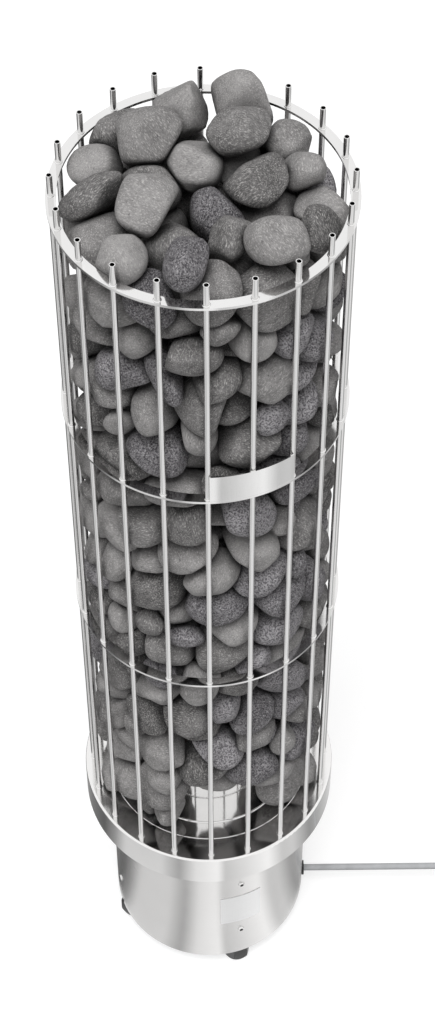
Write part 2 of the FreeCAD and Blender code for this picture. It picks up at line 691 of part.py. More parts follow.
def rest_height(matrix, reach, x, y, other, room):
    """The height at which an ellipsoid that comes down at x, y meets another one, or None."""
    other_x, other_y, other_z, other_form, other_reach = other[:5]
    dx = x - other_x
    dy = y - other_y
    inverse = parting(matrix, other_form)
    dz = reach + other_reach + room
    for _ in range(NEWTON_STEPS):
        ux = inverse[0] * dx + inverse[1] * dy + inverse[2] * dz
        uy = inverse[1] * dx + inverse[3] * dy + inverse[4] * dz
        uz = inverse[2] * dx + inverse[4] * dy + inverse[5] * dz
        length = math.sqrt(ux * ux + uy * uy + uz * uz)
        slope = uz / length
        if slope < LEAST_SLOPE:
            return None
        reaches = math.sqrt(across_form(matrix, ux, uy, uz)) + math.sqrt(across_form(other_form, ux, uy, uz))
        step = ((dx * ux + dy * uy + dz * uz - reaches) / length - room) / slope
        dz -= step
        if abs(step) < CLOSE_ENOUGH:
            break
    return other_z + dz


class Heap:
    """The stones in the cage, and the walls, rim and elements that they lie against."""

    def __init__(self):
        self.room = size("stone_gap")
        self.wall = number(BAR_CIRCLE) - size("hoop_width") / 2 - size("stone_hoop_room")
        self.collar_in = size("collar_dia") / 2 - size("collar_wall") - self.room
        self.collar_out = size("collar_dia") / 2 + self.room
        self.ring_out = size("collar_foot_dia") / 2 + self.room
        self.rim = size("collar_height")
        self.top = size("hoop_high")
        self.posts = self.element_posts()
        self.beads = self.rim_beads()
        self.stones = []

    def element_posts(self):
        """The elements as upright posts: x, y, radius, lowest and highest point."""
        posts = []
        radius = size("element_dia") / 2
        count = int(size("element_count"))
        half_step = math.pi / 2 / count
        bend = size("element_circle_dia") / 2 * math.sin(half_step)
        middle = size("element_circle_dia") / 2 * math.cos(half_step)
        straight = size("element_height") - bend - radius
        for index in range(count):
            turn = math.radians(size("element_turn") - 90) + (4 * index + 1) * half_step
            for step in range(-BEND_STEPS, BEND_STEPS + 1):
                side = bend * math.sin(step * math.pi / 2 / BEND_STEPS)
                rise = straight + math.sqrt(max(bend * bend - side * side, 0.0))
                x = middle * math.cos(turn) - side * math.sin(turn)
                y = middle * math.sin(turn) + side * math.cos(turn)
                leg = abs(step) == BEND_STEPS
                low = 0.0 if leg else straight + (rise - straight) * BEND_SOLID - 2 * radius
                posts.append((x, y, radius, low, rise + radius))
        return posts

    def rim_beads(self):
        """The collar's rim and the wall just below it as rings of small beads."""
        radius = size("collar_wall") / 2
        middle = size("collar_dia") / 2 - radius
        bead = [radius * radius, 0.0, 0.0, radius * radius, 0.0, radius * radius]
        turns = [2 * math.pi * index / RIM_BEADS for index in range(RIM_BEADS)]
        return [(middle * math.cos(turn), middle * math.sin(turn), self.rim - radius - depth, bead, radius)
                for depth in RIM_DEPTHS for turn in turns]

    def furthest(self, matrix, turn):
        """How far out a stone's middle can be at a turn about the axis."""
        best = self.wall
        for degrees in WALL_SAMPLES:
            away = math.radians(degrees)
            x = math.cos(turn + away)
            y = math.sin(turn + away)
            reach = math.sqrt(across_form(matrix, x, y, 0.0))
            best = min(best, (self.wall - reach) / math.cos(away))
        return best

    def floor_at(self, matrix, x, y):
        """How low a stone at x, y may come: onto the deck, or onto the collar's foot ring."""
        xz, yz, zz = matrix[2], matrix[4], matrix[5]
        half = math.sqrt(zz)
        low_x = x - xz / half
        low_y = y - yz / half
        out = math.hypot(low_x, low_y)
        if out <= self.collar_in:
            return self.room
        spread = across_form(matrix, low_x, low_y, 0.0) - (xz * low_x + yz * low_y) ** 2 / zz
        rise = half * (out * max(out - self.ring_out, 0.0)) ** 2 / (2 * spread)
        return self.room + max(size("collar_foot_thick") - rise, 0.0)

    def height_at(self, matrix, reach, x, y):
        """The lowest free height for a stone that comes down at x, y, or None."""
        half = math.sqrt(matrix[5])
        best = half + self.floor_at(matrix, x, y)
        for other in self.stones:
            if other[2] + other[4] + reach + self.room <= best:
                continue
            if (x - other[0]) ** 2 + (y - other[1]) ** 2 > (reach + other[4] + self.room) ** 2:
                continue
            met = rest_height(matrix, reach, x, y, other, self.room)
            if met is not None and met > best:
                best = met
        if best < self.rim + reach + self.room:
            best = self.clear_of_collar(matrix, reach, x, y, best)
        return None if best is None else self.clear_of_posts(matrix, reach, half, x, y, best)

    def beside_collar(self, matrix, x, y):
        """Whether a stone at x, y passes the collar's wall, inside it or outside it."""
        out = math.hypot(x, y)
        turn = math.atan2(y, x)
        far = []
        for degrees in WALL_SAMPLES:
            way = turn + math.radians(degrees)
            reach = math.sqrt(across_form(matrix, math.cos(way), math.sin(way), 0.0))
            far.append(out * math.cos(math.radians(degrees)) + reach)
        if max(far) <= self.collar_in:
            return True
        reach = math.sqrt(across_form(matrix, math.cos(turn), math.sin(turn), 0.0))
        return out - reach >= self.collar_out and not self.in_open_turn(x, y)

    def in_open_turn(self, x, y):
        """Whether a place lies at the front, where the collar and the deck stay bare."""
        return OPEN_TURN[0] <= math.degrees(math.atan2(y, x)) <= OPEN_TURN[1]

    def clear_of_collar(self, matrix, reach, x, y, best):
        """Lift a stone onto the collar's rim, unless it goes down beside the collar's wall."""
        if self.beside_collar(matrix, x, y):
            return best
        for bead in self.beads:
            if (x - bead[0]) ** 2 + (y - bead[1]) ** 2 > (reach + bead[4] + self.room) ** 2:
                continue
            met = rest_height(matrix, reach, x, y, bead, self.room)
            if met is not None and met > best:
                best = met
        sagging = self.in_open_turn(x, y) and best - math.sqrt(matrix[5]) < self.rim - OPEN_SAG
        return None if best <= self.rim or sagging else best

    def clear_of_posts(self, matrix, reach, half, x, y, best):
        """Lift a stone over an element's bend, or refuse it where it would cut a leg."""
        for post_x, post_y, radius, low, high in self.posts:
            dx = x - post_x
            dy = y - post_y
            if dx * dx + dy * dy > (reach + radius + self.room) ** 2:
                continue
            xx = matrix[0] + radius * radius
            yy = matrix[3] + radius * radius
            ux = yy * dx - matrix[1] * dy
            uy = xx * dy - matrix[1] * dx
            length = math.hypot(ux, uy)
            if length > 0:
                reaches = math.sqrt(across_form(matrix, ux, uy, 0.0)) + radius * length
                if (dx * ux + dy * uy - reaches) / length >= self.room:
                    continue
            if best + half + self.room <= low or best - half - self.room >= high:
                continue
            if low <= 0:
                return None
            best = max(best, high + half + self.room)
        return best

    def settle(self, dice, axes, core):
        """Find the lowest place for a stone of these half axes: x, y, z, form, reach, axes, turn."""
        reach = axes[0]
        found = None
        turn = random_turn(dice)
        for _ in range(FIRST_TRIES):
            turn = random_turn(dice)
            matrix = form(axes, turn)
            angle = dice.uniform(-math.pi, math.pi)
            out = self.furthest(matrix, angle)
            if core:
                out *= dice.uniform(0, CORE_OUT)
            elif dice.random() > WALL_SHARE:
                out *= math.sqrt(dice.uniform(LEAST_OUT, 1))
            found = self.lower(found, matrix, axes, turn, out * math.cos(angle), out * math.sin(angle))
        if found is None:
            return None
        stride = SETTLE_REACH
        tilt = SETTLE_TILT
        for _ in range(SETTLE_STEPS):
            turn = tilted(found[6], dice, tilt)
            matrix = form(axes, turn)
            x = found[0] + dice.gauss(0, stride)
            y = found[1] + dice.gauss(0, stride)
            angle = math.atan2(y, x)
            out = min(math.hypot(x, y), self.furthest(matrix, angle))
            found = self.lower(found, matrix, axes, turn, out * math.cos(angle), out * math.sin(angle))
            stride *= SETTLE_FADE
            tilt *= SETTLE_FADE
        return found

    def lower(self, found, matrix, axes, turn, x, y):
        """The lower one of a place already found and the place at x, y."""
        z = self.height_at(matrix, axes[0], x, y)
        if z is None or (found is not None and z >= found[2]):
            return found
        return (x, y, z, matrix, axes[0], axes, turn)

    def fill(self):
        """Lay stones until no more go in under the crown, let them down, and add the last ones."""
        dice = random.Random(STONE_SEED)
        failures = 0
        while failures < GIVE_UP_AFTER:
            core = dice.random() < CORE_SHARE
            kind = "core" if core else "stone"
            axes = half_axes(dice, dice.uniform(size(kind + "_long_min"), size(kind + "_long_max")))
            laid = self.settle(dice, axes, core)
            if laid is None or not self.under_crown(laid, core):
                failures += 1
                continue
            failures = 0
            self.stones.append(laid)
        for index, laid in enumerate(list(self.stones)):
            self.stones.pop(index)
            self.stones.insert(index, self.sunk(laid))
        self.stand_crown(dice)
        self.tuck(dice)
        return self.stones

    def under_crown(self, laid, core):
        """Whether a stone's top stays under the heap's crown, a core stone's well under it."""
        out = math.hypot(laid[0], laid[1]) / self.wall
        crown = self.top + size("crown_edge") + size("crown_rise") * (1 - out * out)
        crown -= size("core_cover") if core else 0.0
        crown += size("crown_back") * laid[1] / self.wall
        for degrees in CROWN_TURNS:
            away = self.wall - size("stone_long_max")
            x = away * math.cos(math.radians(degrees))
            y = away * math.sin(math.radians(degrees))
            if math.hypot(laid[0] - x, laid[1] - y) < size("stone_long_max"):
                return laid[2] + math.sqrt(laid[3][5]) <= crown - size("crown_pit")
        return laid[2] + math.sqrt(laid[3][5]) <= crown

    def stand_crown(self, dice):
        """Stand the longest stones upright at the back of the heap."""
        for degrees in CROWN_TURNS:
            axes = half_axes(dice, size("stone_long_max"))
            found = None
            for _ in range(FIRST_TRIES):
                turn = tilted(UPRIGHT, dice, CROWN_LEAN)
                matrix = form(axes, turn)
                angle = math.radians(degrees + dice.uniform(-CROWN_SPREAD, CROWN_SPREAD))
                out = self.furthest(matrix, angle)
                found = self.lower(found, matrix, axes, turn, out * math.cos(angle), out * math.sin(angle))
            if found is not None:
                self.stones.append(self.sunk(found))

    def is_free(self, matrix, reach, x, y, z):
        """Whether a stone at x, y, z keeps its room from all that is there already."""
        half = math.sqrt(matrix[5])
        if z - half < self.floor_at(matrix, x, y):
            return False
        if math.hypot(x, y) > self.furthest(matrix, math.atan2(y, x)):
            return False
        if z - half < self.rim + self.room and not self.beside_collar(matrix, x, y):
            return False
        for other in self.stones:
            far = reach + other[4] + self.room
            dz = z - other[2]
            if dz > far or -dz > far:
                continue
            dx = x - other[0]
            dy = y - other[1]
            if dx * dx + dy * dy + dz * dz >= far * far:
                continue
            if room_between(matrix, other[3], dx, dy, dz) < self.room:
                return False
        return self.clear_of_posts(matrix, reach, half, x, y, z) == z

    def tuck(self, dice):
        """Put smaller stones into the gaps left near the tubes."""
        axes = half_axes(dice, size("tuck_long_min"))
        for _ in range(TUCK_TRIES):
            turn = random_turn(dice)
            matrix = form(axes, turn)
            angle = dice.uniform(-math.pi, math.pi)
            out = self.furthest(matrix, angle) * math.sqrt(dice.uniform(TUCK_NEAREST, 1))
            x = out * math.cos(angle)
            y = out * math.sin(angle)
            z = dice.uniform(0, self.top)
            if not self.is_free(matrix, axes[0], x, y, z):
                continue
            laid = self.sunk(self.grown(dice, (x, y, z, matrix, axes[0], axes, turn)))
            if self.lies(laid):
                self.stones.append(laid)
                axes = half_axes(dice, size("tuck_long_min"))

    def grown(self, dice, laid):
        """A small stone grown, moved and turned as far as its gap allows."""
        for _ in range(TUCK_STEPS):
            growth = min(TUCK_GROWTH, size("tuck_long_max") / laid[4])
            axes = tuple(half * growth for half in laid[5])
            turn = tilted(laid[6], dice, TUCK_TILT)
            matrix = form(axes, turn)
            x, y, z = [part + dice.gauss(0, TUCK_STRIDE) for part in laid[:3]]
            if self.is_free(matrix, axes[0], x, y, z):
                laid = (x, y, z, matrix, axes[0], axes, turn)
        return laid

    def sunk(self, laid):
        """A stone let down until it lies on what is below it."""
        x, y, z = laid[:3]
        while self.is_free(laid[3], laid[4], x, y, z - TUCK_SINK):
            z -= TUCK_SINK
        return (x, y, z) + laid[3:]

    def lies(self, laid):
        """Whether a small stone lies against the deck or another stone."""
        x, y, z, matrix = laid[:4]
        near = self.room + TUCK_SINK
        return z - math.sqrt(matrix[5]) <= self.floor_at(matrix, x, y) + TUCK_SINK or any(
            room_between(matrix, other[3], x - other[0], y - other[1], z - other[2]) <= near
            for other in self.stones)


def ellipsoid(laid, lift):
    """A stone's solid at its place."""
    x, y, z, _, _, axes, turn = laid
    ways = directions(turn)
    rows = [[ways[column][row] * axes[column] for column in range(3)] for row in range(3)]
    move = FreeCAD.Matrix(*rows[0], x, *rows[1], y, *rows[2], z + lift, 0, 0, 0, 1)
    return Part.makeSphere(1).transformGeometry(move)


def make_stones():
    """Fill the cage, and sort the stones into courses of smooth and of porous ones."""
    dice = random.Random(STONE_SEED)
    deck = size("foot_height") + size("shell_height")
    courses = {}
    stones = Heap().fill()
    for laid in stones:
        course = min(int(laid[2] / size("hoop_high") * COURSES), COURSES - 1) + 1
        turn = math.degrees(math.atan2(laid[1], laid[0]))
        there = POROUS_TURN[0] <= turn <= POROUS_TURN[1]
        porous = dice.random() < (POROUS_SHARE_THERE if there else POROUS_SHARE)
        name = "%s_stones_%d" % ("porous" if porous else "smooth", course)
        courses.setdefault(name, []).append(ellipsoid(laid, deck))
    for name, solids in courses.items():
        DOC.addObject("Part::Feature", name).Shape = Part.makeCompound(solids)
    print("stones laid:", len(stones))
    return sorted(courses)


def check_and_write(names):
    """Stop on any failed object or bad shape, then write each sub-part."""
    DOC.recompute()
    failed = [obj.Name for obj in DOC.Objects if {"Invalid", "Error"} & set(obj.State)]
    bad = [name for name in names
           if DOC.getObject(name).Shape.isNull() or not DOC.getObject(name).Shape.isValid()]
    if failed or bad:
        raise SystemExit("failed objects %s, bad shapes %s" % (failed, bad))
    os.makedirs("parts", exist_ok=True)
    for name in names:
        DOC.getObject(name).Label = name
        DOC.getObject(name).Shape.exportStep("parts/%s.step" % name)
    print("sub-parts written:", len(names))


def main():
    """Build every sub-part and write it."""
    fill_sheet()
    names = []
    for make in (make_bars, make_hoops, make_front_plate, make_label_plate, make_flange, make_shell,
                 make_deck, make_elements, make_floor, make_screws, make_feet, make_wiring, make_cable,
                 make_stones):
        names += make()
    check_and_write(names)


main()
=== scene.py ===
"""Looks of a tower sauna heater: polished cage, base, feet, cable and stones, in a plain pale studio."""
import logging
import math
from dataclasses import dataclass, field
from enum import Enum
from typing import Dict, List, Optional, Sequence, Tuple

import bmesh
import bpy
import numpy as np
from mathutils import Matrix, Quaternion, Vector


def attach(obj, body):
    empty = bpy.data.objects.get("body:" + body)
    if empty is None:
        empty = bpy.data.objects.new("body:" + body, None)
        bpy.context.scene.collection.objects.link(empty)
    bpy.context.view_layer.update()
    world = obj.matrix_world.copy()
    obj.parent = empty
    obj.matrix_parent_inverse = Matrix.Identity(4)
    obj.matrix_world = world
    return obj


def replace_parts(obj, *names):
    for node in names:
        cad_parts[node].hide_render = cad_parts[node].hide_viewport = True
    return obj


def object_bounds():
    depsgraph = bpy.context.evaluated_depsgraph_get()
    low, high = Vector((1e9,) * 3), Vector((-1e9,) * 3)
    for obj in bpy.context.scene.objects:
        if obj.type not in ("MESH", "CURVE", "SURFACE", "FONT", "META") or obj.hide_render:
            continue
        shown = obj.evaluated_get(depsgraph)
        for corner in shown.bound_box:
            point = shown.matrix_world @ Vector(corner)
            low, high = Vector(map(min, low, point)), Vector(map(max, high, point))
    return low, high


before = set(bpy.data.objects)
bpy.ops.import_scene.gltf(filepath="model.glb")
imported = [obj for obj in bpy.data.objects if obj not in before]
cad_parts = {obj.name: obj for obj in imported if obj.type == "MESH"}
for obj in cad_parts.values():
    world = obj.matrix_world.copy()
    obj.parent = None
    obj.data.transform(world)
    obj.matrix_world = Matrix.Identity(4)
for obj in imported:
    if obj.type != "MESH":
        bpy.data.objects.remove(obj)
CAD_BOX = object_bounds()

LOG = logging.getLogger("tower_heater")
HEATER_BODY = "heater"
Colour = Tuple[float, float, float]
Point = Tuple[float, float, float]
Span = Tuple[float, float]
MeshData = Tuple[np.ndarray, np.ndarray]
UP: Point = (0.0, 0.0, 1.0)
WHITE: Colour = (1.0, 1.0, 1.0)
BLACK: Colour = (0.0, 0.0, 0.0)
# Places of the colour sockets on a Mix node, whose names its other data types share.
MIX_FIRST = 6
MIX_SECOND = 7
MIX_RESULT = 2


class StoneKind(Enum):
    """The two kinds of stone in the heap, by the first word of their nodes' names."""

    SMOOTH = "smooth"
    POROUS = "porous"


class Side(Enum):
    """Where a foot stands under the base."""

    FRONT = "front"
    RIGHT = "right"
    BACK = "back"
    LEFT = "left"


class NodeKit:
    """A new material and short calls to add nodes to it."""

    def __init__(self, name: str) -> None:
        """Start a material that holds one Principled shader.

        Args:
            name: The material's name.
        """
        self.material = bpy.data.materials.new(name)
        self.material.use_nodes = True
        self.tree = self.material.node_tree
        self.shader = self.tree.nodes["Principled BSDF"]

    def add(self, kind: str, values: Optional[Dict[str, object]] = None,
            **settings: object) -> bpy.types.Node:
        """Add a node.

        Args:
            kind: The node's type name.
            values: Default values of its inputs, by name.
            settings: The node's own properties.

        Returns:
            The new node.
        """
        node = self.tree.nodes.new(kind)
        for name, value in settings.items():
            setattr(node, name, value)
        for name, value in (values or {}).items():
            node.inputs[name].default_value = value
        return node

    def link(self, source: bpy.types.NodeSocket, target: bpy.types.NodeSocket) -> None:
        """Join an output to an input."""
        self.tree.links.new(source, target)

    def set(self, **values: object) -> None:
        """Set plain values on the shader; an underscore in a name stands for a space."""
        for name, value in values.items():
            self.shader.inputs[name.replace("_", " ")].default_value = value

    def place(self, scale: Point = (1.0, 1.0, 1.0)) -> bpy.types.NodeSocket:
        """The point on the object, stretched.

        Args:
            scale: The stretch along X, Y and Z.

        Returns:
            A vector output.
        """
        source = self.add("ShaderNodeTexCoord")
        mapping = self.add("ShaderNodeMapping", {"Scale": scale})
        self.link(source.outputs["Object"], mapping.inputs["Vector"])
        return mapping.outputs["Vector"]

    def noise(self, at: bpy.types.NodeSocket, scale: float, detail: float = 3.0,
              roughness: float = 0.55) -> bpy.types.NodeSocket:
        """Soft noise.

        Args:
            at: The point it is read at.
            scale: Waves per metre.
            detail: Octaves.
            roughness: Share that each octave keeps.

        Returns:
            A value output from 0 to 1.
        """
        node = self.add("ShaderNodeTexNoise", {"Scale": scale, "Detail": detail, "Roughness": roughness})
        self.link(at, node.inputs["Vector"])
        return node.outputs["Fac"]

    def spread(self, value: bpy.types.NodeSocket, low: float, high: float,
               to_low: float = 0.0, to_high: float = 1.0) -> bpy.types.NodeSocket:
        """Map a value from one range to another, held at both ends.

        Args:
            value: What is mapped.
            low: Start of the range read.
            high: End of the range read.
            to_low: Result at the start.
            to_high: Result at the end.

        Returns:
            A value output.
        """
        node = self.add("ShaderNodeMapRange", {"From Min": low, "From Max": high,
                                               "To Min": to_low, "To Max": to_high})
        self.link(value, node.inputs["Value"])
        return node.outputs["Result"]

    def ramp(self, value: bpy.types.NodeSocket,
             stops: Sequence[Tuple[float, Colour]]) -> bpy.types.NodeSocket:
        """Turn a value into a colour.

        Args:
            value: What is read.
            stops: Place and colour of each stop.

        Returns:
            A colour output.
        """
        node = self.add("ShaderNodeValToRGB")
        elements = node.color_ramp.elements
        while len(elements) < len(stops):
            elements.new(0.5)
        for element, (place, colour) in zip(elements, stops):
            element.position = place
            element.color = (*colour, 1.0)
        self.link(value, node.inputs["Fac"])
        return node.outputs["Color"]

    def tint(self, value: bpy.types.NodeSocket, span: Span,
             low: Colour, high: Colour) -> bpy.types.NodeSocket:
        """Turn a value into a colour between two.

        Args:
            value: What is read.
            span: Start and end of the range read.
            low: Colour at the start.
            high: Colour at the end.

        Returns:
            A colour output.
        """
        return self.ramp(value, [(span[0], low), (span[1], high)])

    def blend(self, factor: bpy.types.NodeSocket, first: bpy.types.NodeSocket,
              second: Colour) -> bpy.types.NodeSocket:
        """Lay a plain colour over another.

        Args:
            factor: Share of the plain colour.
            first: The colour below.
            second: The plain colour.

        Returns:
            A colour output.
        """
        node = self.add("ShaderNodeMix", data_type="RGBA")
        self.link(factor, node.inputs["Factor"])
        self.link(first, node.inputs[MIX_FIRST])
        node.inputs[MIX_SECOND].default_value = (*second, 1.0)
        return node.outputs[MIX_RESULT]

    def multiply(self, first: bpy.types.NodeSocket, second: bpy.types.NodeSocket) -> bpy.types.NodeSocket:
        """Multiply two colours.

        Args:
            first: One colour.
            second: The other.

        Returns:
            A colour output.
        """
        node = self.add("ShaderNodeMix", {"Factor": 1.0}, data_type="RGBA", blend_type="MULTIPLY")
        self.link(first, node.inputs[MIX_FIRST])
        self.link(second, node.inputs[MIX_SECOND])
        return node.outputs[MIX_RESULT]

    def sum(self, parts: Sequence[Tuple[bpy.types.NodeSocket, float]]) -> bpy.types.NodeSocket:
        """Add values, each times a weight.

        Args:
            parts: Value and weight of each part.

        Returns:
            A value output.
        """
        total = None
        for value, weight in parts:
            node = self.add("ShaderNodeMath", operation="MULTIPLY_ADD")
            self.link(value, node.inputs[0])
            node.inputs[1].default_value = weight
            node.inputs[2].default_value = 0.0
            if total is not None:
                self.link(total, node.inputs[2])
            total = node.outputs[0]
        return total

    def bump(self, height: bpy.types.NodeSocket, depth: float) -> None:
        """Give the shader relief.

        Args:
            height: The relief, in units of its depth.
            depth: That unit in metres.
        """
        node = self.add("ShaderNodeBump", {"Strength": 1.0, "Distance": depth})
        self.link(height, node.inputs["Height"])
        self.link(node.outputs["Normal"], self.shader.inputs["Normal"])


@dataclass(frozen=True)
class SteelFinish:
    """Stainless steel: its colour, roughness, and the fine lines left by polishing."""

    name: str
    colour: Colour
    rough_low: float
    rough_high: float
    line_scale: Point
    line_depth: float
    line_detail: float = 2.0
    smear_scale: float = 14.0
    smear_detail: float = 4.0
    smear_in_tint: float = 0.7
    smear_in_roughness: float = 0.75
    dull: float = 0.93
    tint_range: Span = (0.3, 0.7)
    rough_range: Span = (0.35, 0.7)

    def make(self) -> bpy.types.Material:
        """Build the material."""
        kit = NodeKit(self.name)
        smear = kit.noise(kit.place(), self.smear_scale, self.smear_detail)
        lines = kit.noise(kit.place(self.line_scale), 1.0, self.line_detail)
        mixed = kit.sum([(smear, self.smear_in_tint), (lines, 1.0 - self.smear_in_tint)])
        dull = tuple(self.dull * part for part in self.colour)
        kit.link(kit.tint(mixed, self.tint_range, dull, self.colour), kit.shader.inputs["Base Color"])
        kit.set(Metallic=1.0)
        wiped = kit.sum([(smear, self.smear_in_roughness), (lines, 1.0 - self.smear_in_roughness)])
        roughness = kit.spread(wiped, *self.rough_range, self.rough_low, self.rough_high)
        kit.link(roughness, kit.shader.inputs["Roughness"])
        kit.bump(lines, self.line_depth)
        return kit.material


@dataclass(frozen=True)
class MouldedFinish:
    """Plastic, rubber or ceramic: a grained surface of nearly one colour."""

    name: str
    colour: Colour
    roughness: float
    grain_scale: float
    grain_depth: float
    worn: float = 1.25
    cloud_scale: float = 60.0
    cloud_detail: float = 4.0
    cloud_range: Span = (0.35, 0.75)
    grain_detail: float = 2.0
    grain_range: Span = (0.3, 0.7)
    smoother: float = 0.06
    rougher: float = 0.08

    def make(self) -> bpy.types.Material:
        """Build the material."""
        kit = NodeKit(self.name)
        at = kit.place()
        cloud = kit.noise(at, self.cloud_scale, self.cloud_detail)
        grain = kit.noise(at, self.grain_scale, self.grain_detail)
        worn = tuple(self.worn * part for part in self.colour)
        kit.link(kit.tint(cloud, self.cloud_range, self.colour, worn), kit.shader.inputs["Base Color"])
        roughness = (self.roughness - self.smoother, self.roughness + self.rougher)
        kit.link(kit.spread(grain, *self.grain_range, *roughness), kit.shader.inputs["Roughness"])
        kit.bump(grain, self.grain_depth)
        return kit.material


@dataclass(frozen=True)
class ElementFinish:
    """A heating element's sheath, darkened and mottled by heat."""

    name: str = "element_sheath"
    dark: Colour = (0.018, 0.016, 0.015)
    brown: Colour = (0.075, 0.055, 0.043)
    mottle_scale: float = 70.0
    mottle_detail: float = 5.0
    mottle_keep: float = 0.65
    brown_range: Span = (0.35, 0.72)
    rough_range: Span = (0.3, 0.7)
    roughness: Span = (0.38, 0.6)
    depth: float = 0.0002

    def make(self) -> bpy.types.Material:
        """Build the material."""
        kit = NodeKit(self.name)
        mottle = kit.noise(kit.place(), self.mottle_scale, self.mottle_detail, self.mottle_keep)
        kit.link(kit.tint(mottle, self.brown_range, self.dark, self.brown), kit.shader.inputs["Base Color"])
        kit.link(kit.spread(mottle, *self.rough_range, *self.roughness), kit.shader.inputs["Roughness"])
        kit.set(Metallic=0.75)
        kit.bump(mottle, self.depth)
        return kit.material


@dataclass(frozen=True)
class Mottle:
    """A layer of noise on a stone: waves per metre, octaves, what each keeps, and its part in the tone."""

    scale: float
    detail: float
    keep: float
    weight: float

    def noise(self, kit: NodeKit, at: bpy.types.NodeSocket) -> bpy.types.NodeSocket:
        """The layer's value at a point."""
        return kit.noise(at, self.scale, self.detail, self.keep)


@dataclass(frozen=True)
class StoneFinish:
    """Dark sauna stone: mottled grey with pale fibres, dark pits where it is porous, and painted shade in the
    gaps between stones.
    """

    name: str
    dark: Colour
    pale: Colour
    fibre: Colour
    pit_scale: float
    pit_share: float
    pit_depth: float
    grain_depth: float = 0.0003
    fibre_share: float = 0.48
    patches: Mottle = Mottle(38.0, 5.0, 0.6, 0.30)
    middle: Mottle = Mottle(160.0, 4.0, 0.6, 0.22)
    grain: Mottle = Mottle(620.0, 4.0, 0.7, 0.23)
    own_weight: float = 0.25
    tone_range: Span = (0.36, 0.64)
    turns: Point = (9.0, 23.0, 41.0)
    along: Point = (260.0, 850.0, 850.0)
    askew: Point = (300.0, 900.0, 900.0)
    askew_turn: Point = (0.9, 0.36, 0.9)
    fibre_detail: float = 2.0
    fibre_range: Span = (0.54, 0.70)
    pit_detail: float = 3.0
    pit_keep: float = 0.6
    pit_edge: Span = (-0.05, 0.06)
    pit_tint: Colour = (0.38, 0.37, 0.39)
    pit_range: Span = (0.0, 0.9)
    middle_relief: float = 2.0
    fibre_relief: float = 0.5
    # These numbers paint shade into the stones' colour in their gaps: occlusion reach, its samples, the
    # shade's colour and the range read.
    gap_reach: float = 0.024
    gap_samples: int = 8
    gap_shade_tint: Colour = (0.22, 0.22, 0.22)
    gap_range: Span = (0.22, 0.80)

    def turned_place(self, kit: NodeKit, own: bpy.types.NodeSocket) -> bpy.types.NodeSocket:
        """The point on a stone, turned differently for each stone.

        Args:
            kit: The material in the making.
            own: A number of the stone's own.

        Returns:
            A vector output.
        """
        turns = kit.add("ShaderNodeCombineXYZ")
        for axis, weight in zip("XYZ", self.turns):
            kit.link(kit.sum([(own, weight)]), turns.inputs[axis])
        rotate = kit.add("ShaderNodeVectorRotate", rotation_type="EULER_XYZ")
        kit.link(kit.place(), rotate.inputs["Vector"])
        kit.link(turns.outputs["Vector"], rotate.inputs["Rotation"])
        return rotate.outputs["Vector"]

    def fibres(self, kit: NodeKit, at: bpy.types.NodeSocket, stretch: Point,
               turn: Point = (0.0, 0.0, 0.0)) -> bpy.types.NodeSocket:
        """Short pale fibres that lie mostly one way.

        Args:
            kit: The material in the making.
            at: The point on the stone.
            stretch: Fibres per metre along and across.
            turn: Which way they lie, as angles about X, Y and Z.

        Returns:
            A value output from 0 to 1.
        """
        laid = kit.add("ShaderNodeMapping", {"Scale": stretch, "Rotation": turn})
        kit.link(at, laid.inputs["Vector"])
        return kit.spread(kit.noise(laid.outputs["Vector"], 1.0, self.fibre_detail), *self.fibre_range)

    def pits(self, kit: NodeKit, at: bpy.types.NodeSocket) -> bpy.types.NodeSocket:
        """The pits: a value output, 0 in a pit and 1 between them."""
        pores = kit.noise(at, self.pit_scale, self.pit_detail, self.pit_keep)
        return kit.spread(pores, self.pit_share + self.pit_edge[0], self.pit_share + self.pit_edge[1])

    def painted_gap_shade(self, kit: NodeKit) -> bpy.types.NodeSocket:
        """Painted shade: the stones' colour darkened by ambient occlusion in the gaps between them, as a
        colour output to multiply by.
        """
        gaps = kit.add("ShaderNodeAmbientOcclusion", {"Distance": self.gap_reach}, samples=self.gap_samples)
        return kit.tint(gaps.outputs["AO"], self.gap_range, self.gap_shade_tint, WHITE)

    def make(self) -> bpy.types.Material:
        """Build the material."""
        kit = NodeKit(self.name)
        own = kit.add("ShaderNodeNewGeometry").outputs["Random Per Island"]
        at = self.turned_place(kit, own)
        patches = self.patches.noise(kit, at)
        middle = self.middle.noise(kit, at)
        grain = self.grain.noise(kit, at)
        tone = kit.sum([(patches, self.patches.weight), (grain, self.grain.weight),
                        (middle, self.middle.weight), (own, self.own_weight)])
        along = self.fibres(kit, at, self.along)
        askew = self.fibres(kit, at, self.askew, self.askew_turn)
        share = kit.sum([(along, self.fibre_share), (askew, self.fibre_share)])
        coloured = kit.blend(share, kit.tint(tone, self.tone_range, self.dark, self.pale), self.fibre)
        pits = self.pits(kit, at)
        pitted = kit.multiply(coloured, kit.tint(pits, self.pit_range, self.pit_tint, WHITE))
        # Painted shade: the base colour is darkened by ambient occlusion in the gaps between stones.
        kit.link(kit.multiply(pitted, self.painted_gap_shade(kit)), kit.shader.inputs["Base Color"])
        kit.set(Roughness=0.86, Specular_IOR_Level=0.3)
        relief = kit.sum([(pits, self.pit_depth), (grain, self.grain_depth),
                          (middle, self.middle_relief * self.grain_depth),
                          (along, self.fibre_relief * self.grain_depth)])
        kit.bump(relief, 1.0)
        return kit.material


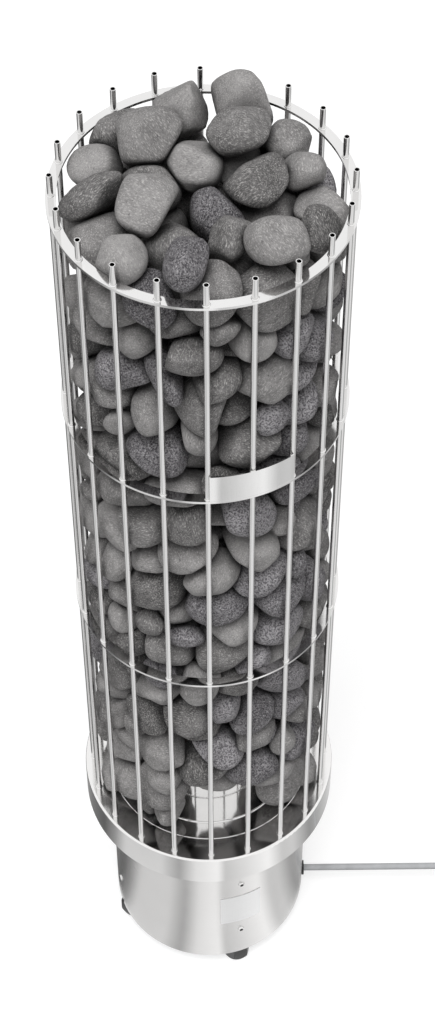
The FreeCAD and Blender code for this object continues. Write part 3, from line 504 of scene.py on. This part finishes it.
POLISHED = SteelFinish("polished_steel", (0.87, 0.865, 0.86), 0.05, 0.13, (900.0, 900.0, 40.0), 0.000002)
SHELL_STEEL = SteelFinish("satin_steel", (0.89, 0.88, 0.872), 0.20, 0.28, (30.0, 30.0, 2600.0), 0.000004)
FLANGE_STEEL = SteelFinish("flange_steel", (0.92, 0.912, 0.905), 0.09, 0.16, (30.0, 30.0, 2600.0), 0.000003)
ZINC = SteelFinish("zinc_plate", (0.55, 0.56, 0.57), 0.28, 0.42, (300.0, 300.0, 300.0), 0.000004)
LABEL_METAL = SteelFinish("label_metal", (0.95, 0.95, 0.95), 0.42, 0.52, (1500.0, 30.0, 30.0), 0.000003)
FOOT_PLASTIC = MouldedFinish("foot_plastic", (0.012, 0.012, 0.012), 0.42, 900.0, 0.00005)
GLAND_PLASTIC = MouldedFinish("gland_plastic", (0.03, 0.03, 0.03), 0.45, 900.0, 0.00005)
GROMMET_RUBBER = MouldedFinish("grommet_rubber", (0.02, 0.02, 0.02), 0.7, 1200.0, 0.00005)
# Painted shade: a near-black finish for the flat plugs that stand in for the shade inside the screws' drive
# sockets.
SOCKET_PAINTED_SHADE = MouldedFinish("socket_dark", (0.008, 0.008, 0.008), 0.6, 900.0, 0.00003)
CABLE_SHEATH = MouldedFinish("cable_sheath", (0.36, 0.365, 0.375), 0.38, 1500.0, 0.00003)
LEAD_SILICONE = MouldedFinish("lead_silicone", (0.7, 0.67, 0.62), 0.6, 1500.0, 0.00003, 1.08)
CERAMIC = MouldedFinish("terminal_ceramic", (0.72, 0.70, 0.65), 0.55, 1400.0, 0.00006, 1.08)
SMOOTH_STONE = StoneFinish("smooth_stone", (0.080, 0.0775, 0.077), (0.33, 0.321, 0.318), (0.60, 0.585, 0.57),
                           pit_scale=340.0, pit_share=0.31, pit_depth=0.00015)
POROUS_STONE = StoneFinish("porous_stone", (0.120, 0.115, 0.121), (0.39, 0.378, 0.391), (0.64, 0.625, 0.64),
                           pit_scale=560.0, pit_share=0.45, pit_depth=0.0006)


def dress(node: str, material: bpy.types.Material) -> None:
    """Give a carried-over CAD node its finish.

    Args:
        node: The node's name.
        material: Its material.
    """
    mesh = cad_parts[node].data
    mesh.materials.clear()
    mesh.materials.append(material)
    LOG.info("dressed %s", node)


def mesh_object(name: str, points: np.ndarray, faces: np.ndarray, material: bpy.types.Material,
                smooth: bool = True) -> bpy.types.Object:
    """Make a mesh object in the CAD model's frame.

    Args:
        name: The piece's name.
        points: Vertex places in metres.
        faces: Vertex numbers of each face.
        material: Its material.
        smooth: Whether the faces are shaded smooth.

    Returns:
        The new object, linked to the scene.
    """
    mesh = bpy.data.meshes.new(name)
    mesh.vertices.add(len(points))
    mesh.vertices.foreach_set("co", points.ravel())
    mesh.loops.add(faces.size)
    mesh.loops.foreach_set("vertex_index", faces.ravel())
    mesh.polygons.add(len(faces))
    mesh.polygons.foreach_set("loop_start", np.arange(len(faces)) * faces.shape[1])
    mesh.polygons.foreach_set("use_smooth", np.full(len(faces), smooth))
    mesh.update(calc_edges=True)
    mesh.materials.append(material)
    piece = bpy.data.objects.new(name, mesh)
    bpy.context.scene.collection.objects.link(piece)
    return piece


def joined(parts: Sequence[MeshData]) -> MeshData:
    """Join several meshes into one.

    Args:
        parts: Points and faces of each.

    Returns:
        The points and faces of all.
    """
    starts = np.cumsum([0] + [len(points) for points, _ in parts])
    faces = [own + start for (_, own), start in zip(parts, starts)]
    return np.concatenate([points for points, _ in parts]), np.concatenate(faces)


def held_back(reach: np.ndarray, limits: np.ndarray, sharpness: float) -> np.ndarray:
    """How far points draw in towards a middle to stay within planes, with rounded edges.

    Args:
        reach: How far each point, a row, reaches towards each plane, a column.
        limits: How far each plane lies from the middle.
        sharpness: How crisp the edges are.

    Returns:
        A factor for each point, as a column.
    """
    share = np.clip(reach, 0.0, None) / limits
    return ((1.0 + (share ** sharpness).sum(1)) ** (-1.0 / sharpness))[:, None]


@dataclass
class Stone:
    """One stone's place: its middle and its three half axes as columns of a matrix."""

    middle: np.ndarray
    axes: np.ndarray
    inverse: np.ndarray = field(init=False)
    reach: float = field(init=False)

    def __post_init__(self) -> None:
        """Work out the way back to the unit ball and the longest half axis."""
        self.inverse = np.linalg.inv(self.axes)
        self.reach = np.linalg.norm(self.axes, axis=0).max()

    def beside(self, other: "Stone", room: float) -> bool:
        """Whether another stone is near enough to touch."""
        apart = np.linalg.norm(other.middle - self.middle)
        return 0.0 < apart < self.reach + other.reach + room

    def contact(self, other: "Stone") -> Tuple[np.ndarray, float]:
        """The plane between two neighbours.

        Args:
            other: The neighbour.

        Returns:
            The plane's normal, towards the neighbour, and its distance from this stone's middle.
        """
        way = other.middle - self.middle
        leave = 1.0 / np.linalg.norm(self.inverse @ way)
        enter = 1.0 - 1.0 / np.linalg.norm(other.inverse @ way)
        meet = 0.5 * (leave + enter) * way
        own_slope = self.inverse.T @ self.inverse @ meet
        other_slope = other.inverse.T @ other.inverse @ (meet - way)
        normal = own_slope / np.linalg.norm(own_slope) - other_slope / np.linalg.norm(other_slope)
        normal /= np.linalg.norm(normal)
        return normal, float(normal @ meet)

    def rest_height(self, spots: np.ndarray, radius: float) -> np.ndarray:
        """How high the middle of a ball lies that rests on this stone.

        Args:
            spots: X and Y of the ball's middle, one row each.
            radius: The ball's radius.

        Returns:
            A height for each spot, or minus infinity where the ball misses the stone.
        """
        lengths = np.linalg.norm(self.axes, axis=0)
        inverse = np.linalg.inv(self.axes * (1.0 + radius / lengths))
        square = inverse.T @ inverse
        offset = spots - self.middle[:2]
        slope = offset @ square[:2, 2]
        under = slope ** 2 - square[2, 2] * (np.einsum("ij,jk,ik->i", offset, square[:2, :2], offset) - 1.0)
        height = self.middle[2] + (np.sqrt(np.maximum(under, 0.0)) - slope) / square[2, 2]
        return np.where(under > 0.0, height, -np.inf)


@dataclass
class StoneHeap:
    """The stones of one kind: each CAD ellipsoid becomes a worn, faceted pebble in its place.

    Attributes:
        kind: Which nodes are this heap's.
        finish: The stones' finish.
        cuts: Flat cuts on each stone.
        cut_near: Distance of the deepest cut from the middle, in half axes.
        cut_far: Distance of the shallowest cut.
        sharpness: How crisp the cuts' edges are.
        lump: Height of the lumps, in half axes.
        wave_count: Waves that the lumps are made of.
        wave_pitch: How close together the lumps lie.
        taper: The most that a stone broadens towards its foot.
        upright: Rise of a stone that counts as upright, as a share of its longest half axis.
        upright_taper: How much an upright stone of the crown broadens.
        swell: Growth that fills the gaps which the cuts leave.
        low_swell: The same close above the deck.
        low_top: Height up to which that one holds.
        gap: Room that a stone keeps to a contact.
        contact_sharpness: How crisp the edges of a contact are.
        furthest: Reach of the heap from the heater's axis.
        seen_radius: Distance from the axis from which a stone is seen.
        seen_top: Height from which a stone is seen.
        fine: Division of the mesh of a stone that is seen.
        coarse: Division of the mesh of one that isn't.
        seed: Start of the heap's chance.
        room: Room between two stones that still count as neighbours.
        material: The stones' material.
        balls: The unit balls made so far, by division.
    """

    kind: StoneKind
    finish: StoneFinish
    cuts: int
    cut_near: float
    cut_far: float
    sharpness: float
    lump: float
    wave_count: int = 6
    wave_pitch: float = 3.4
    taper: float = 0.25
    upright: float = 0.8
    upright_taper: float = 0.38
    swell: float = 1.14
    low_swell: float = 1.06
    low_top: float = 0.43
    gap: float = 0.0003
    contact_sharpness: float = 16.0
    furthest: float = 0.1343
    seen_radius: float = 0.085
    seen_top: float = 1.22
    fine: int = 4
    coarse: int = 3
    seed: int = 5
    room: float = 0.012
    material: bpy.types.Material = field(init=False)
    balls: Dict[int, MeshData] = field(default_factory=dict)

    def __post_init__(self) -> None:
        """Make the stones' finish."""
        self.material = self.finish.make()

    def ball(self, level: int) -> MeshData:
        """A unit ball's points and faces, made once for each level of division."""
        if level not in self.balls:
            shape = bmesh.new()
            bmesh.ops.create_icosphere(shape, subdivisions=level, radius=1.0)
            points = np.array([vertex.co[:] for vertex in shape.verts])
            faces = np.array([[vertex.index for vertex in face.verts] for face in shape.faces])
            shape.free()
            self.balls[level] = (points, faces)
        return self.balls[level]

    def stones(self, node: str) -> List[Stone]:
        """Read each stone of a node from its mesh.

        Args:
            node: The CAD node.

        Returns:
            The stones of the node.
        """
        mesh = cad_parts[node].data
        mesh.calc_loop_triangles()
        points = np.empty(3 * len(mesh.vertices), dtype=np.float32)
        mesh.vertices.foreach_get("co", points)
        points = points.reshape(-1, 3).astype(float)
        triangles = np.empty(3 * len(mesh.loop_triangles), dtype=np.int32)
        mesh.loop_triangles.foreach_get("vertices", triangles)
        return [self.measured(points[run]) for run in self.runs(triangles.reshape(-1, 3))]

    @staticmethod
    def runs(triangles: np.ndarray) -> List[np.ndarray]:
        """Split triangles into the separate solids, which follow one another.

        Args:
            triangles: Vertex numbers of each triangle.

        Returns:
            The triangles of each solid.
        """
        highest = np.maximum.accumulate(triangles.max(1))
        lowest = np.minimum.accumulate(triangles.min(1)[::-1])[::-1]
        return np.split(triangles, np.nonzero(lowest[1:] > highest[:-1])[0] + 1)

    @staticmethod
    def measured(corners: np.ndarray) -> Stone:
        """Measure one stone.

        Args:
            corners: The corners of its triangles.

        Returns:
            The stone, from its volume's first and second moments.
        """
        # Moments of the tetrahedra below the triangles; an ellipsoid's is a fifth of its half axis squared.
        start = corners.reshape(-1, 3).mean(0)
        corners = corners - start
        volume = np.einsum("ij,ij->i", corners[:, 0], np.cross(corners[:, 1], corners[:, 2]))
        total = corners.sum(1)
        middle = (volume[:, None] * total).sum(0) / (4.0 * volume.sum())
        second = np.einsum("i,ikj,ikl->jl", volume, corners, corners)
        second += np.einsum("i,ij,il->jl", volume, total, total)
        second = second / (20.0 * volume.sum()) - np.outer(middle, middle)
        squares, ways = np.linalg.eigh(second)
        return Stone(start + middle, ways * np.sqrt(5.0 * squares))

    def foot(self, stone: Stone, dice: np.random.Generator) -> Tuple[np.ndarray, float]:
        """Which way a stone broadens: downwards, and most if it stands on end.

        Args:
            stone: Its place and half axes.
            dice: Source of chance.

        Returns:
            The way on the unit ball, and how much the stone broadens along it.
        """
        way = dice.normal(size=3)
        taper = dice.uniform(0.0, self.taper)
        lengths = np.linalg.norm(stone.axes, axis=0)
        longest = int(lengths.argmax())
        stands = abs(stone.axes[2, longest]) > self.upright * lengths[longest]
        if stands and stone.middle[2] > self.seen_top:
            way = np.eye(3)[longest]
            taper = self.upright_taper
        way /= np.linalg.norm(way)
        return (-way if (stone.axes @ way)[2] > 0.0 else way), taper

    def seen(self, stone: Stone) -> bool:
        """Whether a stone lies on the heap's outside or top."""
        out = math.hypot(stone.middle[0], stone.middle[1])
        return out > self.seen_radius or stone.middle[2] > self.seen_top

    def worn_ball(self, points: np.ndarray, dice: np.random.Generator) -> np.ndarray:
        """Wear a unit ball with flat cuts and soft lumps.

        Args:
            points: The ball's points.
            dice: Source of chance.

        Returns:
            The worn points.
        """
        normals = dice.normal(size=(self.cuts, 3))
        normals /= np.linalg.norm(normals, axis=1)[:, None]
        depths = dice.uniform(self.cut_near, self.cut_far, self.cuts)
        waves = dice.normal(size=(self.wave_count, 3)) * self.wave_pitch
        phases = dice.uniform(0.0, math.tau, self.wave_count)
        lumps = 1.0 + self.lump * np.sin(points @ waves.T + phases).mean(1)
        return points * held_back(points @ normals.T, depths, self.sharpness) * lumps[:, None]

    def set_apart(self, stone: Stone, near: List[Stone], worn: np.ndarray) -> np.ndarray:
        """Hold a stone back from its neighbours, and below the CAD model's top.

        Args:
            stone: Its place and half axes.
            near: Its neighbours.
            worn: Its points, in half axes.

        Returns:
            The points held back, in half axes.
        """
        planes = [stone.contact(other) for other in near]
        planes.append((np.array(UP), CAD_BOX[1][2] - stone.middle[2]))
        towards = np.array([normal @ stone.axes for normal, _ in planes])
        limits = np.array([max(limit - self.gap, self.gap) for _, limit in planes])
        return worn * held_back(worn @ towards.T, limits, self.contact_sharpness)

    def pebble(self, stone: Stone, near: List[Stone], dice: np.random.Generator) -> MeshData:
        """Shape one stone.

        Args:
            stone: Its place and half axes.
            near: Its neighbours, whose side of the plane between them it keeps off.
            dice: Source of chance.

        Returns:
            Its points and faces.
        """
        points, faces = self.ball(self.fine if self.seen(stone) else self.coarse)
        worn = self.worn_ball(points, dice)
        foot, taper = self.foot(stone, dice)
        along = (worn @ foot)[:, None] * foot
        worn = along + (worn - along) * (1.0 + taper * (worn @ foot))[:, None]
        worn *= self.swell if stone.middle[2] > self.low_top else self.low_swell
        laid = stone.middle + self.set_apart(stone, near, worn) @ stone.axes.T
        away = np.hypot(laid[:, 0], laid[:, 1])
        laid[:, :2] *= (self.furthest / np.maximum(away, self.furthest))[:, None]
        return laid, faces

    def nodes(self) -> List[str]:
        """The names of this kind's nodes."""
        return sorted(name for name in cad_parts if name.startswith(self.kind.value + "_stones"))

    def lay(self, name: str, own: List[Stone], heap: List[Stone],
            dice: np.random.Generator) -> bpy.types.Object:
        """Make one piece of several stones.

        Args:
            name: The piece's name.
            own: Its stones.
            heap: All stones of the heater.
            dice: Source of chance.

        Returns:
            The piece, riding on the heater.
        """
        pebbles = []
        for stone in own:
            near = [other for other in heap if stone.beside(other, self.room)]
            pebbles.append(self.pebble(stone, near, dice))
        piece = mesh_object(name, *joined(pebbles), self.material)
        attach(piece, HEATER_BODY)
        LOG.info("laid %s, %d stones", name, len(own))
        return piece

    def build(self, heap: List[Stone], last: List[Stone]) -> None:
        """Replace every node of this kind by its pebbles, then lay the last ones.

        Args:
            heap: All stones of the heater, the last ones too.
            last: Stones of this kind that fill the crown.
        """
        dice = np.random.default_rng(self.seed)
        for node in self.nodes():
            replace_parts(self.lay("worn_" + node, self.stones(node), heap, dice), node)
        if last:
            self.lay("crown_" + self.kind.value + "_stones", last, heap, dice)


@dataclass
class Crown:
    """The last stones, each laid where it comes to rest lowest among the stones on top."""

    half_axes: Point = (0.031, 0.027, 0.023)
    spread: float = 0.12
    tilt: float = 0.5
    count: int = 16
    highest: float = 1.302
    furthest: float = 0.104
    step: float = 0.004
    seed: int = 3

    def lay(self, heap: List[Stone]) -> List[Stone]:
        """Find the last stones' places.

        Args:
            heap: The stones that are there already.

        Returns:
            The stones laid on them.
        """
        dice = np.random.default_rng(self.seed)
        line = np.arange(-self.furthest, self.furthest, self.step)
        spots = np.stack([grid.ravel() for grid in np.meshgrid(line, line)], 1)
        spots = spots[np.hypot(spots[:, 0], spots[:, 1]) < self.furthest]
        laid: List[Stone] = []
        while len(laid) < self.count:
            sizes = np.array(self.half_axes) * dice.uniform(1.0 - self.spread, 1.0 + self.spread)
            heights = np.max([stone.rest_height(spots, sizes[1]) for stone in heap + laid], axis=0)
            place = int(heights.argmin())
            if heights[place] > self.highest:
                break
            turn = Quaternion(UP, dice.uniform(0.0, math.tau))
            lie = Quaternion((1.0, 0.0, 0.0), dice.uniform(-self.tilt, self.tilt))
            axes = np.array((turn @ lie).to_matrix()) * sizes
            laid.append(Stone(np.array([*spots[place], heights[place]]), axes))
            LOG.info("crown stone at %.3f %.3f %.3f", *laid[-1].middle)
        return laid


@dataclass
class Cage:
    """The tubes, hoops and front plate."""

    finish: SteelFinish = POLISHED

    def build(self) -> None:
        """Dress the cage's nodes."""
        material = self.finish.make()
        names = [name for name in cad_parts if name.startswith(("cage_bar", "hoop_"))]
        for node in sorted(names) + ["front_plate"]:
            dress(node, material)


@dataclass
class Base:
    """Flange, deck, collar, shell and what is inside the shell."""

    def build(self) -> None:
        """Dress the base's nodes."""
        polished = POLISHED.make()
        satin = SHELL_STEEL.make()
        zinc = ZINC.make()
        for node in ("inner_deck", "collar", "shell_screws"):
            dress(node, polished)
        dress("flange", FLANGE_STEEL.make())
        dress("base_shell", satin)
        dress("label_plate", LABEL_METAL.make())
        for node in ("bottom_plate", "tie_strips", "foot_nuts", "element_nuts"):
            dress(node, zinc)
        dress("terminal_block", CERAMIC.make())
        dress("element_leads", LEAD_SILICONE.make())
        element = ElementFinish().make()
        for node in sorted(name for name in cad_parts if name.startswith("heating_element")):
            dress(node, element)


@dataclass(frozen=True)
class Bead:
    """A thin round bead: the circle that it follows and its own radius."""

    middle: Point
    circle: float
    radius: float
    around: int
    across: int = 8

    def mesh(self) -> MeshData:
        """The bead's points and faces."""
        turns = np.linspace(0.0, math.tau, self.around, endpoint=False)
        rolls = np.linspace(0.0, math.tau, self.across, endpoint=False)
        turn, roll = [grid.ravel() for grid in np.meshgrid(turns, rolls, indexing="ij")]
        out = self.circle + self.radius * np.cos(roll)
        points = np.stack([out * np.cos(turn), out * np.sin(turn), self.radius * np.sin(roll)], 1)
        corner = np.arange(self.around * self.across).reshape(self.around, self.across)
        onward = np.roll(corner, -1, 0)
        faces = np.stack([corner, onward, np.roll(onward, -1, 1), np.roll(corner, -1, 1)], 2)
        return points + np.array(self.middle), faces.reshape(-1, 4)


@dataclass
class SteelTrim:
    """Rolled edges of collar and flange, the deck's seam, and welds where tubes meet deck and hoops."""

    deck: float = 0.318
    collar_rim: Tuple[float, float] = (0.07925, 0.0848)
    collar_foot: Tuple[float, float] = (0.0968, 0.0006)
    deck_seam: Tuple[float, float] = (0.1193, 0.0)
    flange_hem: Tuple[float, float] = (0.1488, -0.0485)
    edge_radius: float = 0.0011
    seam_radius: float = 0.0007
    edge_steps: int = 120
    tube_circle: float = 0.140
    tube_count: int = 20
    weld_circle: float = 0.0031
    weld_radius: float = 0.0009
    weld_steps: int = 20
    hoop_tops: Tuple[float, ...] = (0.363, 0.680, 0.955)

    def beads(self) -> List[Bead]:
        """Every bead of the trim."""
        edges = [(self.collar_rim, self.edge_radius), (self.collar_foot, self.edge_radius),
                 (self.flange_hem, self.edge_radius), (self.deck_seam, self.seam_radius)]
        beads = [Bead((0.0, 0.0, self.deck + height), circle, radius, self.edge_steps)
                 for (circle, height), radius in edges]
        for index in range(self.tube_count):
            turn = math.radians(360.0 * index / self.tube_count - 90.0)
            x, y = self.tube_circle * math.cos(turn), self.tube_circle * math.sin(turn)
            beads += [Bead((x, y, self.deck + height), self.weld_circle, self.weld_radius, self.weld_steps)
                      for height in (0.0,) + self.hoop_tops]
        return beads

    def build(self) -> None:
        """Run all beads as one piece."""
        piece = mesh_object("steel_trim", *joined([bead.mesh() for bead in self.beads()]), POLISHED.make())
        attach(piece, HEATER_BODY)
        LOG.info("ran %s", piece.name)


@dataclass
class ScrewSockets:
    """Painted shade on the shell screws' domed heads: a flat near-black hexagon on each head stands in for
    the shade inside its hexagonal drive socket.
    """

    heights: Tuple[float, ...] = (0.086, 0.199)
    turns: Tuple[float, ...] = (-90.0, 0.0, 90.0, 180.0)
    head_top: float = 0.12248
    proud: float = 0.00003
    depth: float = 0.0007
    corner_radius: float = 0.0024
    corners: int = 6

    def socket(self, height: float, turn: float) -> MeshData:
        """One socket's painted shade: a short six-sided plug with a flat face.

        Args:
            height: Its height above the floor.
            turn: Its place round the shell, in radians.

        Returns:
            Its points and faces.
        """
        outward = np.array([math.cos(turn), math.sin(turn), 0.0])
        sideways = np.array([-math.sin(turn), math.cos(turn), 0.0])
        around = np.linspace(0.0, math.tau, self.corners, endpoint=False)
        ring = self.corner_radius * (np.outer(np.cos(around), sideways) + np.outer(np.sin(around), UP))
        ring[:, 2] += height
        points = np.concatenate([ring + outward * (self.head_top - self.depth),
                                 ring + outward * (self.head_top + self.proud)])
        face = self.corners + np.array([[0, 1, 2, 3], [0, 3, 4, 5]])
        inner = np.arange(self.corners)
        onward = np.roll(inner, -1)
        sides = np.stack([inner, onward, onward + self.corners, inner + self.corners], 1)
        return points, np.concatenate([face, sides])

    def build(self) -> None:
        """Set a plug of painted shade into each head, where its socket is."""
        sockets = [self.socket(height, turn) for height in self.heights for turn in np.radians(self.turns)]
        piece = mesh_object("screw_sockets", *joined(sockets), SOCKET_PAINTED_SHADE.make(), False)
        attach(piece, HEATER_BODY)
        LOG.info("set %s", piece.name)


@dataclass
class Feet:
    """The four levelling feet."""

    def build(self) -> None:
        """Dress pads and studs."""
        plastic = FOOT_PLASTIC.make()
        zinc = ZINC.make()
        for side in Side:
            dress("foot_pad_" + side.value, plastic)
            dress("foot_stud_" + side.value, zinc)


@dataclass
class SupplyCable:
    """The level supply cable from the shell's grommet to the wall gland."""

    turn: float = math.radians(-18.7)
    middle: float = 0.040
    start: float = 0.1226
    end: float = 0.325
    diameter: float = 0.0085
    stops: int = 5
    order: int = 3
    roundness: int = 6

    def point(self, out: float) -> Point:
        """A point of the cable's line, at a distance from the heater's axis."""
        return (out * math.cos(self.turn), out * math.sin(self.turn), self.middle)

    def build(self) -> None:
        """Make the cable's curve and dress its grommet and gland."""
        line = bpy.data.curves.new("supply_lead", "CURVE")
        line.dimensions = "3D"
        line.bevel_depth = self.diameter / 2
        line.bevel_resolution = self.roundness
        spline = line.splines.new("NURBS")
        spline.points.add(self.stops - 1)
        for index, point in enumerate(spline.points):
            out = self.start + (self.end - self.start) * index / (self.stops - 1)
            point.co = (*self.point(out), 1.0)
        spline.order_u = self.order
        spline.use_endpoint_u = True
        line.materials.append(CABLE_SHEATH.make())
        piece = bpy.data.objects.new("supply_lead", line)
        bpy.context.scene.collection.objects.link(piece)
        dress("cable_grommet", GROMMET_RUBBER.make())
        dress("cable_gland", GLAND_PLASTIC.make())
        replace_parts(piece, "supply_cable")
        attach(piece, HEATER_BODY)
        LOG.info("ran %s", piece.name)


@dataclass
class Studio:
    """Pale floor, soft light and the camera."""

    eye: Point = (-0.5218, -1.5389, 2.8763)
    azimuth: float = math.radians(-19.15)
    elevation: float = math.radians(51.97)
    roll: float = math.radians(-0.23)
    lens: float = 87.08
    sensor: float = 36.0
    floor_half: float = 14.0
    floor_colour: Colour = (0.45, 0.45, 0.45)
    floor_lift: float = 0.62
    sky: float = 0.33
    sun_way: Point = (0.17, 0.34, -1.0)
    sun_strength: float = 2.75
    sun_spread: float = math.radians(30.0)
    card_near: float = 0.128
    card_far: float = 1.7
    card_height: float = 0.0004
    card_steps: int = 96
    card_tones: Tuple[Tuple[float, float], ...] = (
        (-180.0, 0.85), (-150.0, 0.5), (-112.0, 0.20), (-91.0, 0.12), (-78.0, 0.30), (-67.0, 0.66),
        (-36.0, 0.70), (-22.0, 0.40), (-10.0, 0.82), (6.0, 0.98), (11.0, 0.62), (22.0, 0.74), (44.0, 1.0),
        (56.0, 0.62), (66.0, 0.66), (84.0, 0.32), (104.0, 0.50), (150.0, 0.9))

    def build(self) -> None:
        """Set the stage."""
        self.build_floor()
        self.build_card()
        self.build_world()
        self.build_lamps()
        self.build_camera()
        bpy.context.scene.view_settings.view_transform = "Standard"

    @staticmethod
    def looked_at(tree: bpy.types.NodeTree, low: float, high: float) -> bpy.types.NodeSocket:
        """A strength that is higher where something is seen or mirrored than where it only gives light.

        Args:
            tree: The node tree it is made in.
            low: Strength as light.
            high: Strength to the eye, in metal and through glass.

        Returns:
            A value output.
        """
        path = tree.nodes.new("ShaderNodeLightPath")
        seen = path.outputs["Is Camera Ray"]
        for ray in ("Is Glossy Ray", "Is Transmission Ray"):
            either = tree.nodes.new("ShaderNodeMath")
            either.operation = "MAXIMUM"
            tree.links.new(seen, either.inputs[0])
            tree.links.new(path.outputs[ray], either.inputs[1])
            seen = either.outputs[0]
        strength = tree.nodes.new("ShaderNodeMapRange")
        strength.inputs["To Min"].default_value = low
        strength.inputs["To Max"].default_value = high
        tree.links.new(seen, strength.inputs["Value"])
        return strength.outputs["Result"]

    def build_floor(self) -> None:
        """Lay the pale floor, lifted to white where it is seen; the shadow on it stays."""
        half = self.floor_half
        kit = NodeKit("pale_floor")
        kit.set(Base_Color=(*self.floor_colour, 1.0), Roughness=0.9, Specular_IOR_Level=0.1,
                Emission_Color=(*WHITE, 1.0))
        kit.link(self.looked_at(kit.tree, 0.0, self.floor_lift), kit.shader.inputs["Emission Strength"])
        corners = np.array([(-half, -half, 0.0), (half, -half, 0.0), (half, half, 0.0), (-half, half, 0.0)])
        floor = mesh_object("pale_floor", corners, np.array([[0, 1, 2, 3]]), kit.material, False)

    def build_card(self) -> None:
        """Lay a ring of card round the base whose soft greys only show in the metal."""
        kit = NodeKit("ring_card")
        angle = kit.add("ShaderNodeTexGradient", gradient_type="RADIAL")
        kit.link(kit.place(), angle.inputs["Vector"])
        greys = kit.ramp(angle.outputs["Fac"], [(0.5 + turn / 360.0, (grey, grey, grey))
                                                for turn, grey in self.card_tones])
        kit.link(greys, kit.shader.inputs["Emission Color"])
        kit.set(Base_Color=(*BLACK, 1.0), Roughness=1.0, Specular_IOR_Level=0.0, Emission_Strength=1.0)
        turns = np.linspace(0.0, math.tau, self.card_steps, endpoint=False)
        rows = [np.stack([out * np.cos(turns), out * np.sin(turns), np.full(len(turns), self.card_height)], 1)
                for out in (self.card_near, self.card_far)]
        inner = np.arange(self.card_steps)
        onward = np.roll(inner, -1)
        faces = np.stack([inner, inner + self.card_steps, onward + self.card_steps, onward], 1)
        card = mesh_object("ring_card", np.concatenate(rows), faces, kit.material, False)
        card.rotation_euler = (0.0, 0.0, math.atan2(self.eye[1], self.eye[0]))
        card.visible_camera = False
        card.visible_diffuse = False
        card.visible_transmission = False
        card.visible_shadow = False

    def build_world(self) -> None:
        """A plain white surround: white to the eye and in reflections, softer as light."""
        world = bpy.data.worlds.new("surround")
        world.use_nodes = True
        background = world.node_tree.nodes["Background"]
        background.inputs["Color"].default_value = (*WHITE, 1.0)
        strength = self.looked_at(world.node_tree, self.sky, 1.0)
        world.node_tree.links.new(strength, background.inputs["Strength"])
        bpy.context.scene.world = world

    def build_lamps(self) -> None:
        """Hang the broad lamp high above the heater, a little to the front."""
        data = bpy.data.lights.new("overhead", "SUN")
        data.energy = self.sun_strength
        data.angle = self.sun_spread
        lamp = bpy.data.objects.new("overhead", data)
        lamp.rotation_euler = Vector(self.sun_way).to_track_quat("-Z", "Y").to_euler()
        lamp.visible_glossy = False
        bpy.context.scene.collection.objects.link(lamp)

    def build_camera(self) -> None:
        """Stand the camera where the photograph was taken from."""
        data = bpy.data.cameras.new("camera")
        data.lens = self.lens
        data.sensor_width = self.sensor
        data.sensor_fit = "AUTO"
        camera = bpy.data.objects.new("camera", data)
        camera.location = self.eye
        forward = Vector((-math.sin(self.azimuth) * math.cos(self.elevation),
                          math.cos(self.azimuth) * math.cos(self.elevation), -math.sin(self.elevation)))
        turned = forward.to_track_quat("-Z", "Y") @ Quaternion(UP, self.roll)
        camera.rotation_euler = turned.to_euler()
        bpy.context.scene.collection.objects.link(camera)
        bpy.context.scene.camera = camera


def main() -> None:
    """Build the studio and dress the heater, piece by piece."""
    logging.basicConfig(level=logging.INFO, format="%(message)s")
    Studio().build()
    SupplyCable().build()
    Cage().build()
    Base().build()
    SteelTrim().build()
    ScrewSockets().build()
    Feet().build()
    smooth = StoneHeap(StoneKind.SMOOTH, SMOOTH_STONE, cuts=8, cut_near=0.64, cut_far=0.98, sharpness=16.0,
                       lump=0.05)
    porous = StoneHeap(StoneKind.POROUS, POROUS_STONE, cuts=7, cut_near=0.72, cut_far=0.98, sharpness=14.0,
                       lump=0.05)
    packed = [stone for heap in (smooth, porous) for node in heap.nodes() for stone in heap.stones(node)]
    last = Crown().lay(packed)
    smooth.build(packed + last, last)
    porous.build(packed + last, [])


if __name__ == "__main__":
    main()
